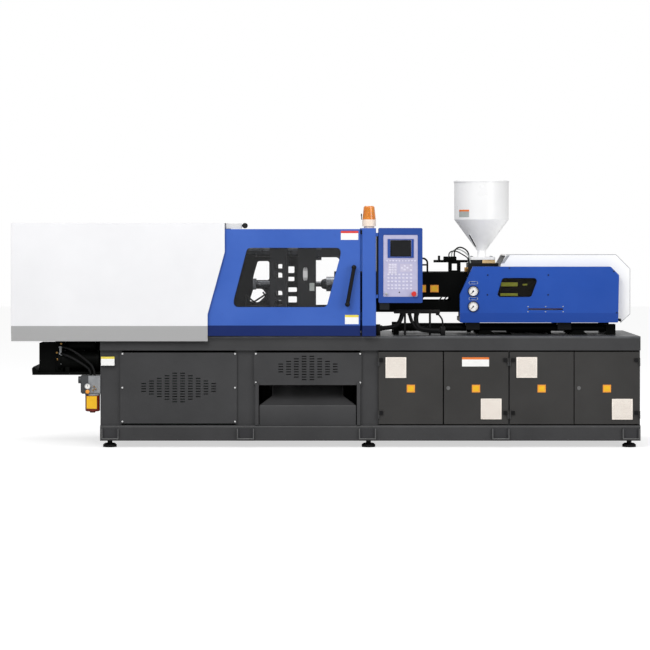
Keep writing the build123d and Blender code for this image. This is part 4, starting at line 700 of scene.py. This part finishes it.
coverWindow = {"points": [(1301, 1238), (1567, 1238), (1515, 1096), (1259, 1096)], "corner": 22,
               "pane": [(1298, 1242), (1571, 1242), (1519, 1092), (1255, 1092)], "paneFront": -327.5,
               "paneThick": 3, "strips": [((1292, -316, 1175), (1417, -308, 1204), 1.5, 2),
                                          ((1453, -316, 1182), (1487, -312, 1194), 1.0, 2),
                                          ((1289, -316, 1104), (1417, -312, 1124), 1.0, 2)]}
shape = bmesh.new()
rimAlong(shape, coverWindow["points"], coverWindow["corner"], 5, -331.2, -330.05)
finishPiece("coverWindowTrim", shape, zincPlate, "carriage")
shape = bmesh.new()
outline = roundedLoop(coverWindow["pane"], coverWindow["corner"])
paneFace = shape.faces.new([shape.verts.new((p.x, coverWindow["paneFront"] * mm, p.z)) for p in outline])
thicken(shape, [paneFace], (0, coverWindow["paneThick"], 0))
finishPiece("coverWindowPane", shape, smokedSheet, "carriage")
boxPiece("coverWindowBack", [((1249, -272, 1086), (1577, -268, 1248), 1, 1)], blackPlastic, "carriage")
boxPiece("coverStrips", coverWindow["strips"], stripLime, "carriage")

scale = {"left": 1491, "right": 1750, "z": 1007}
columns = (scale["left"], (scale["left"] + scale["right"]) / 2, scale["right"])
rivets = [(x, scale["z"] + offset) for x in columns for offset in (-19, 19)]
studPiece("scaleRivets", rivets, -330.02, -332, (4.2, 16, 1.2), zincPlate, "carriage")
boxPiece("scaleStrip", [((scale["left"] + 4, -327.8, scale["z"] - 1.5),
                         (scale["right"] - 4, -326.4, scale["z"] + 4), 0.3, 1)],
         scaleBrown, "carriage")
coverScrews = [(1194, 1259), (1191, 1113), (1642, 1259), (1640, 1113), (1354, 1311), (2126, 1287),
               (2148, 981)]
studPiece("coverScrews", coverScrews, -330.02, -333.5, (5.5, 20, 1.4), blackPlastic, "carriage")
print("injection cover dressed")

# Hopper: sight glass on the cone, bare plate on the wall, flange bolts, crown of the lid

hopper = {"x": 1170, "slotTurn": 39, "lowZ": 1471, "highZ": 1557, "neckZ": 1436, "coneZ": 1671,
          "neckRadius": 32, "radius": 205, "boltX": 74, "boltY": 66, "flangeTop": 1390, "crown": 196}
turn = math.radians(hopper["slotTurn"])
outward = Vector((-math.cos(turn), -math.sin(turn), 0))
slope = (hopper["radius"] - hopper["neckRadius"]) / (hopper["coneZ"] - hopper["neckZ"])


def onCone(z):  # point on the cone's skin at that height, in the sight glass's direction
    reach = hopper["neckRadius"] + (z - hopper["neckZ"]) * slope
    return Vector((hopper["x"], 0, z)) + outward * reach


low, high = onCone(hopper["lowZ"]), onCone(hopper["highZ"])
along = (high - low).normalized()
side = outward.cross(Vector((0, 0, 1))).normalized()
out = side.cross(along).normalized()
if out.dot(outward) < 0:
    out = -out
length = (high - low).length
basis = Matrix((side, out, along)).transposed().to_4x4()
place = Matrix.Translation(((low + high) / 2 + out * 0.4) * mm) @ basis
sightParts = (("sightFrame", 10, 6, 2.4, hopperEnamel, "white_paint"),
              ("sightGlass", 7, 2, 3.2, blackPlastic, "black_plastic"))
for name, half, longer, front, material, slot in sightParts:
    shape = bmesh.new()
    roundedBox(shape, (-half, 0.2, -length / 2 - longer), (half, front, length / 2 + longer), 1.0, 2)
    bmesh.ops.transform(shape, matrix=place, verts=shape.verts[:])
    finishPiece(name, shape, material, "hopper")

plateOnHopper = {"from": 31.9, "to": 59.5, "low": 1688, "high": 1744, "header": 13, "steps": 14}
start = math.radians(180 + plateOnHopper["from"])
swing = math.radians(plateOnHopper["to"] - plateOnHopper["from"])
split = plateOnHopper["high"] - plateOnHopper["header"]
shape = bmesh.new()
for index, (bottom, top) in enumerate(((plateOnHopper["low"], split), (split, plateOnHopper["high"]))):
    corners = [shape.verts.new(((hopper["x"] + r * math.cos(start)) * mm, r * math.sin(start) * mm, z * mm))
               for r, z in ((205.1, bottom), (206, bottom), (206, top), (205.1, top))]
    bmesh.ops.spin(shape, geom=[shape.faces.new(corners)], axis=(0, 0, 1), cent=(hopper["x"] * mm, 0, 0),
                   angle=swing, steps=plateOnHopper["steps"], use_merge=False)
    for face in shape.faces:
        if bottom * mm < face.calc_center_median().z < top * mm:
            face.material_index = index
finishPiece("plateHopper", shape, [labelGrey, labelOrange], "hopper")

shape = bmesh.new()
for sx in (-1, 1):
    for sy in (-1, 1):
        x, y, z = hopper["x"] + sx * hopper["boltX"], sy * hopper["boltY"], hopper["flangeTop"]
        roundBar(shape, (x, y, z + 0.05), (x, y, z + 7), 8, 6, 1.0)
        roundBar(shape, (x, y, z + 0.02), (x, y, z + 1.5), 11, 24, 0.3)
finishPiece("flangeBolts", shape, zincPlate, "hopper")
shape = bmesh.new()
roundBar(shape, (hopper["x"], 0, 1957.5), (hopper["x"], 0, 1964.8), hopper["crown"], 64, 2.0)
finishPiece("lidCrown", shape, hopperEnamel, "hopper_lid")
print("hopper dressed")

# Beacon: lamp inside the lens, and clip

beacon = {"x": 313, "y": -506}
x, y = beacon["x"], beacon["y"]
shape = bmesh.new()
roundBar(shape, (x, y, 1671), (x, y, 1690), 16, 28, 2)
roundBar(shape, (x, y, 1690), (x, y, 1716), 11, 28, 4)
finishPiece("beaconLamp", shape, labelOrange, "root")
boxPiece("beaconClip", [((x - 60, y - 8, 1692), (x - 52, y + 8, 1712), 1.5, 2),
                        ((x - 58, y - 5, 1668), (x - 52, y + 5, 1694), 1.0, 2)],
         blackPlastic, "root")
print("beacon dressed")

# Lubrication pump: dial, cap, brass fittings, bare plate on the reservoir

pump = {"gaugeX": -1746, "gaugeZ": 449, "face": -514, "capX": -1746, "capZ": 410, "capFace": -504,
        "body": -490, "fittings": [(-1700, 446, 20), (-1688, 428, 14), (-1706, 420, 16)]}
x, y, z = pump["gaugeX"], pump["face"], pump["gaugeZ"]
shape = bmesh.new()
washer(shape, (x, y - 0.05, z), (0, -1, 0), 22, 17.5, 2.4, 36)
finishPiece("pumpGaugeRing", shape, zincPlate, "root")
shape = bmesh.new()
roundBar(shape, (x, y - 0.04, z), (x, y - 0.8, z), 17.3, 36)
finishPiece("pumpDial", shape, dialWhite, "root")
boxPiece("pumpNeedle", [((x - 1.6, y - 1.9, z - 3), (x + 1.4, y - 0.9, z + 13), 0.4, 1)],
         blackPlastic, "root")
shape = bmesh.new()
roundBar(shape, (pump["capX"], pump["capFace"] - 0.05, pump["capZ"]),
         (pump["capX"], pump["capFace"] - 14, pump["capZ"]), 15, 12, 2)
finishPiece("pumpCap", shape, labelAmber, "root")
shape = bmesh.new()
for x, z, reach in pump["fittings"]:
    roundBar(shape, (x, pump["body"] - 0.05, z), (x, pump["body"] - reach, z), 6, 6, 0.8)
finishPiece("pumpFittings", shape, brass, "root")
boxPiece("plateReservoir", [((-1755, -495.2, 284), (-1680, -494.1, 376), 0.3, 1)],
         labelGold, "root")
print("left end dressed")

# Fasteners and small plates on the base, the guard and the platens

panelScrews = [(x, z) for columns, heights in (((-1493, -668), (686, 438, 190)), ((-516, 248), (686, 475)))
               for x in columns for z in heights]
studPiece("panelScrews", panelScrews, -494.03, -495.6, (6.5, 16, 0.6), paleGrey, "root")
guardPlates = {"places": [(713, 1155), (807, 1155)], "halfWide": 31, "halfTall": 27,
               "outer": (-175.8, -175.02), "inner": (-176.2, -175.7)}
shape = bmesh.new()
for x, z in guardPlates["places"]:
    borderedPlate(shape, x, z, guardPlates["halfWide"], guardPlates["halfTall"], guardPlates["outer"],
                  guardPlates["inner"], 0.2)
finishPiece("plateGuard", shape, [labelAmber, labelGold], "carriage")
guardBars = {"places": (838, 872), "y": -172, "low": 1060, "high": 1096, "lean": 26, "radius": 5}
shape = bmesh.new()
for x in guardBars["places"]:
    roundBar(shape, (x, guardBars["y"], guardBars["low"]),
             (x + guardBars["lean"], guardBars["y"], guardBars["high"]), guardBars["radius"], 12)
finishPiece("guardSlotBars", shape, blackPlastic, "carriage")
shape = bmesh.new()
roundedBox(shape, (1030, -196, 1280), (1056, -175.1, 1314), 2, 2)
roundBar(shape, (1043, -196, 1304), (1043, -212, 1304), 9, 6, 1)
finishPiece("guardFitting", shape, brass, "carriage")
# painted light: a grey strip facing front that stands for the lit slanted end of the rear cover
trim = {"points": [(1299, 1345), (1321, 1345), (1363, 1404), (1340, 1404)], "front": -257.6, "back": -256.1}
shape = bmesh.new()
slab(shape, [(x, trim["back"], z) for x, z in trim["points"]], (0, trim["front"] - trim["back"], 0))
finishPiece("rearCoverLitEnd", shape, castAndEdgeGrey, "carriage")

connector = {"left": -170, "pitch": 6.4, "pin": 3.6, "pins": 5, "front": -330, "back": -314}
shape = bmesh.new()
roundedBox(shape, (-172, -322, 1240), (-138, -310.05, 1292), 3, 2)
for i in range(connector["pins"]):
    x = connector["left"] + i * connector["pitch"]
    for low, high in ((1292.05, 1308 + (i % 2) * 9), (1224 - (i % 2) * 7, 1239.95)):
        roundedBox(shape, (x, connector["front"], low), (x + connector["pin"], connector["back"], high), 1, 1)
finishPiece("platenConnector", shape, paleGrey, "root")
boxPiece("platePlaten", [((-124, -311.2, 1142), (-88, -310.04, 1200), 0.3, 1)], labelGrey, "root")
ejectorPipes = {"y": -266, "radius": 6.5, "front": -282, "back": -250,
                "runs": [(-424, 1132, -566, 1040), (-424, 1104, -520, 1036), (-470, 1132, -424, 1060),
                         (-600, 1108, -500, 1032), (-596, 1100, -596, 1030)],
                "blocks": [(-604, 1014, -420.05, 1034), (-604, 1100, -588, 1114),
                           (-440, 1096, -420.05, 1140)]}
shape = bmesh.new()
for left, low, right, high in ejectorPipes["blocks"]:
    roundedBox(shape, (left, ejectorPipes["front"], low), (right, ejectorPipes["back"], high), 2, 2)
for startX, startZ, endX, endZ in ejectorPipes["runs"]:
    roundBar(shape, (startX, ejectorPipes["y"], startZ), (endX, ejectorPipes["y"], endZ),
             ejectorPipes["radius"], 16)
finishPiece("ejectorPipes", shape, hoseRubber, "moving_platen")

# Painted shade: black sheets on the far side of the moving platen that stand for the shaded inside of the
# clamp, seen through the gate's window

farShadeSheets = {"y": 330, "sheet": 3, "corner": 14, "platenSide": 310, "low": 1000, "high": 1400,
             "openings": [[(-568, 1208), (-438, 1208), (-438, 1353), (-526, 1353)],
                          [(-590, 1046), (-520, 1036), (-458, 1096), (-490, 1140), (-560, 1140)]],
             "slots": [(-368, -330, 1210, 1330), (-368, -330, 1050, 1150), (-292, -245, 1262, 1312),
                       (-292, -245, 1200, 1232), (-292, -226, 1117, 1151), (-292, -226, 1036, 1082)],
             "spacers": ((-400, 1370), (-400, 1030), (-310, 1370), (-310, 1030))}


def upright(left, right, low, high):  # corners of an upright rectangle
    return [(left, low), (right, low), (right, high), (left, high)]


shape = bmesh.new()
front, back = farShadeSheets["y"], farShadeSheets["y"] + farShadeSheets["sheet"]
cutSheet(shape, upright(-720, -424, farShadeSheets["low"], farShadeSheets["high"]), farShadeSheets["openings"],
         farShadeSheets["corner"], front, back)
cutSheet(shape, upright(-424, -214, farShadeSheets["low"], farShadeSheets["high"]),
         [upright(*slot) for slot in farShadeSheets["slots"]], farShadeSheets["corner"] / 2, front, back)
for x, z in farShadeSheets["spacers"]:
    roundBar(shape, (x, farShadeSheets["platenSide"] + 0.05, z), (x, front - 0.05, z), 9, 16, 1)
finishPiece("farShadeSheets", shape, blackPlastic, "moving_platen")
plugs = {"x": 568, "pitch": 28, "count": 5, "y": 470, "deck": 814.05, "collar": 838, "tip": 852}
shape = bmesh.new()
for i in range(plugs["count"]):
    x, y = plugs["x"] + i * plugs["pitch"], plugs["y"]
    roundBar(shape, (x, y, plugs["deck"]), (x, y, plugs["collar"]), 8, 6, 0.8)
    roundBar(shape, (x, y, plugs["collar"] + 0.05), (x, y, plugs["tip"]), 5, 12, 1.5)
finishPiece("deckPlugs", shape, blackPlastic, "root")
# painted highlight: a grey line along the top edge of the bottom beam
boxPiece("ledgeHighlight", [((-1654, -500.4, 150.5), (2298, -500.02, 153.5))], lockGreyAndHighlights, "root")
# painted shade: a thin grey line along the rear cover's right outline, where its bevelled edge turns from the
# light
coverEdgeShade = {"points": [(1336, 1409), (2151, 1409), (2255, 1305), (2255, 969), (2184, 904)], "y": -255,
             "radius": 2.1}
shape = bmesh.new()
for (startX, startZ), (endX, endZ) in zip(coverEdgeShade["points"], coverEdgeShade["points"][1:]):
    roundBar(shape, (startX, coverEdgeShade["y"], startZ), (endX, coverEdgeShade["y"], endZ), coverEdgeShade["radius"], 10)
finishPiece("rearCoverEdgeShade", shape, castAndEdgeGrey, "carriage")
hingeCap = {"axes": {"door_1": (381.5, 1), "door_2": (1329.5, -1), "door_3": (1347.5, 1),
                     "door_4": (2288.5, -1)},
            "heights": (626, 240), "near": 6.5, "far": 33.5, "front": -503.2, "back": -502.04}
for body, (axis, reach) in hingeCap["axes"].items():  # black leaf caps on the hinges
    shape = bmesh.new()
    left, right = sorted((axis + reach * hingeCap["near"], axis + reach * hingeCap["far"]))
    for z in hingeCap["heights"]:
        roundedBox(shape, (left, hingeCap["front"], z + 0.6), (right, hingeCap["back"], z + 28.4), 0.4, 1)
    finishPiece("hingeCap." + body, shape, blackPlastic, body)
# painted highlights: grey strips along the edges and feet of the lifting brackets
slings = {"places": (-1581, -591, 301, 1276, 2229), "half": 62, "lip": 5, "bottom": 62, "foot": 7,
          "top": 139, "front": -522.9, "back": -522.04, "footBack": -508}
shape = bmesh.new()
for x in slings["places"]:
    for side in (-1, 1):
        left, right = sorted((x + side * slings["half"], x + side * (slings["half"] - slings["lip"])))
        roundedBox(shape, (left, slings["front"], slings["bottom"] + slings["foot"]),
                   (right, slings["back"], slings["top"]), 0.3, 1)
    roundedBox(shape, (x - slings["half"], slings["front"], slings["bottom"]),
               (x + slings["half"], slings["footBack"], slings["bottom"] + slings["foot"] - 0.1), 0.3, 1)
finishPiece("slingEdgeHighlights", shape, lockGreyAndHighlights, "root")
print("small plates and fasteners done")

# Product chute, widened to the mouth by a flare, with the posts beside it

chute = {"left": -489, "right": 217, "front": -494, "mouth": 308, "foot": 163.1, "inset": 92, "flare": 140,
         "backY": 260, "backZ": 640, "sheet": 3, "wall": 60, "postTop": 474.9, "postFront": -500,
         "postBack": -440}
steep = (chute["backZ"] - chute["mouth"]) / (chute["backY"] - chute["front"])
trayLeft, trayRight = chute["left"] + chute["inset"], chute["right"] - chute["inset"]
flareY = chute["front"] + chute["flare"]
flareZ = chute["mouth"] + chute["flare"] * steep
shape = bmesh.new()
roundedBox(shape, (chute["left"], chute["front"], chute["foot"]),
           (chute["right"], chute["front"] + chute["sheet"], chute["mouth"] - 1), 0.6, 2)
slab(shape, [(chute["left"], chute["front"], chute["mouth"]),
             (chute["right"], chute["front"], chute["mouth"]),
             (trayRight, flareY, flareZ), (trayRight, chute["backY"], chute["backZ"]),
             (trayLeft, chute["backY"], chute["backZ"]), (trayLeft, flareY, flareZ)], (0, 0, -chute["sheet"]))
for x in (trayLeft, trayRight - chute["sheet"]):
    slab(shape, [(x, flareY, flareZ), (x, chute["backY"], chute["backZ"]),
                 (x, chute["backY"], chute["backZ"] + chute["wall"]), (x, flareY, flareZ + chute["wall"])],
         (chute["sheet"], 0, 0))
wideChute = finishPiece("wideChute", shape, greyPowderCoat, "root")
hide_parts("product_chute")
# painted highlight: a grey line along the chute's top front fold
boxPiece("chuteFoldHighlight", [((chute["left"] + 4, chute["front"] - 0.5, chute["mouth"] - 3.2),
                            (chute["right"] - 4, chute["front"] - 0.05, chute["mouth"] - 1.2))],
         lockGreyAndHighlights, "root")
boxPiece("mouthPosts", [((left, chute["postFront"], chute["foot"]),
                         (right, chute["postBack"], chute["postTop"]), 0.5, 1)
                        for left, right in ((-519.9, chute["left"] - 6), (chute["right"] + 7, 247.9))],
         greyPowderCoat, "root")
print("product chute done")

# Power unit on the shelf: upper drum, wider filter box, sheet behind them, valve stack

shelf = {"top": 549.05, "sheetTop": 774, "drumY": -360, "drumZ": 745, "drum": (-1898, -1702), "radius": 36,
         "rims": (-1898, -1722), "rimRadius": 41, "valveX": -1955, "valveY": -415,
         "valve": [(604, 622, 12), (622.05, 668, 8), (668.05, 690, 14), (690.05, 724, 9), (724.05, 738, 13)]}
y, z = shelf["drumY"], shelf["drumZ"]
shape = bmesh.new()
roundedBox(shape, (-1995.9, -400, shelf["top"]), (-1940, -180, shelf["sheetTop"]), 3, 2)
roundedBox(shape, (-1990, -20, shelf["top"]), (-1660.1, -14, shelf["sheetTop"]), 0.5, 1)
roundBar(shape, (shelf["drum"][0], y, z), (shelf["drum"][1], y, z), shelf["radius"], 40, 3)
for x in shelf["rims"]:
    roundBar(shape, (x, y, z), (x + 12, y, z), shelf["rimRadius"], 40, 2)
finishPiece("shelfUnit", shape, blackEnamel, "root")
shape = bmesh.new()
for low, high, radius in shelf["valve"]:
    roundBar(shape, (shelf["valveX"], shelf["valveY"], low), (shelf["valveX"], shelf["valveY"], high), radius,
             24, 1.5)
finishPiece("valveStack", shape, castAndEdgeGrey, "root")
print("power unit done")

# Hoses and cables: each one a smooth line through the points of its route


def layCord(name, points, diameter, material, body):
    curve = bpy.data.curves.new(name, "CURVE")
    curve.dimensions = "3D"
    curve.bevel_depth = diameter / 2 * mm
    curve.bevel_resolution = 5
    curve.resolution_u = 16
    curve.use_fill_caps = True
    spline = curve.splines.new("NURBS")
    spline.points.add(len(points) - 1)
    for control, point in zip(spline.points, points):
        control.co = tuple(v * mm for v in point) + (1.0,)
    spline.order_u = 3
    spline.use_endpoint_u = True
    curve.materials.append(material)
    piece = bpy.data.objects.new(name, curve)
    bpy.context.scene.collection.objects.link(piece)
    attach(piece, body)


hoses = {"y": -315, "bottom": 975, "top": 1003, "deck": 814.02, "legs": (575, 760),
         "blocks": ((365, 400, 30, 894), (846, 880, 26, 876)),  # left, right, half depth and top
         "nuts": ((562, 21), (668, 22), (616, 17), (824, 15)),
         "sideNuts": ((400, 414, 866, 21), (845, 831, 850, 22)),
         "runs": [(34, [(562, 975), (548, 905), (486, 866), (385, 866)]),
                  (36, [(668, 975), (656, 905), (704, 850), (850, 850)]),
                  (26, [(616, 975), (626, 912), (690, 838), (850, 838)]),
                  (13, [(824, 975), (846, 950), (862, 922), (862, 874)])]}
y, deck = hoses["y"], hoses["deck"]
for i, (diameter, route) in enumerate(hoses["runs"]):
    layCord("hose.%d" % i, [(x, y, z) for x, z in route], diameter, hoseRubber, "root")
shape = bmesh.new()
roundedBox(shape, (500, y - 28, hoses["bottom"]), (840, y + 28, hoses["top"]), 3, 2)
for x in hoses["legs"]:
    roundedBox(shape, (x, y + 20, deck), (x + 16, y + 27, 979), 1, 1)
for left, right, half, top in hoses["blocks"]:
    roundedBox(shape, (left, y - half, deck), (right, y + half, top), 3, 2)
for x, radius in hoses["nuts"]:
    roundBar(shape, (x, y, hoses["bottom"] + 1), (x, y, hoses["bottom"] - 14), radius, 6, 1.5)
for x, end, z, radius in hoses["sideNuts"]:
    roundBar(shape, (x, y, z), (end, y, z), radius, 6, 1.5)
manifold = finishPiece("hoseManifold", shape, blackPlastic, "root")
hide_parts("hoses")

cables = [("carriage", 11, [(960, -100, 1394), (956, -104, 1442), (1004, -108, 1470), (1060, -110, 1436),
                           (1070, -106, 1392), (1070, -104, 1344)], blackPlastic),
          ("carriage", 9, [(940, -98, 1394), (936, -98, 1430), (984, -96, 1456), (1044, -108, 1424),
                           (1074, -110, 1390), (1080, -108, 1344)], labelGrey),
          ("carriage", 9, [(920, -102, 1394), (914, -104, 1424), (966, -112, 1440), (1030, -114, 1404),
                           (1066, -104, 1380), (1068, -96, 1344)], blackPlastic),
          ("root", 16, [(-1700, -460, 524), (-1700, -464, 580), (-1762, -472, 640), (-1850, -472, 706),
                        (-1922, -452, 736), (-1956, -400, 736)], hoseRubber),
          ("root", 16, [(-1730, -452, 524), (-1730, -458, 566), (-1790, -466, 612), (-1872, -466, 660),
                        (-1936, -446, 684), (-1968, -400, 684)], hoseRubber)]
for i, (body, diameter, route, material) in enumerate(cables):
    layCord("cable.%d" % i, route, diameter, material, body)
shape = bmesh.new()
for x, z, reach in ((-1950, 756, 18), (-1976, 640, 16), (-1982, 690, 20)):
    roundBar(shape, (x, -400.05, z), (x, -400 - reach, z), 8, 6, 1)
finishPiece("coolerFittings", shape, brass, "root")
print("hoses and cables laid")

low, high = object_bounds()
print("pieces done")
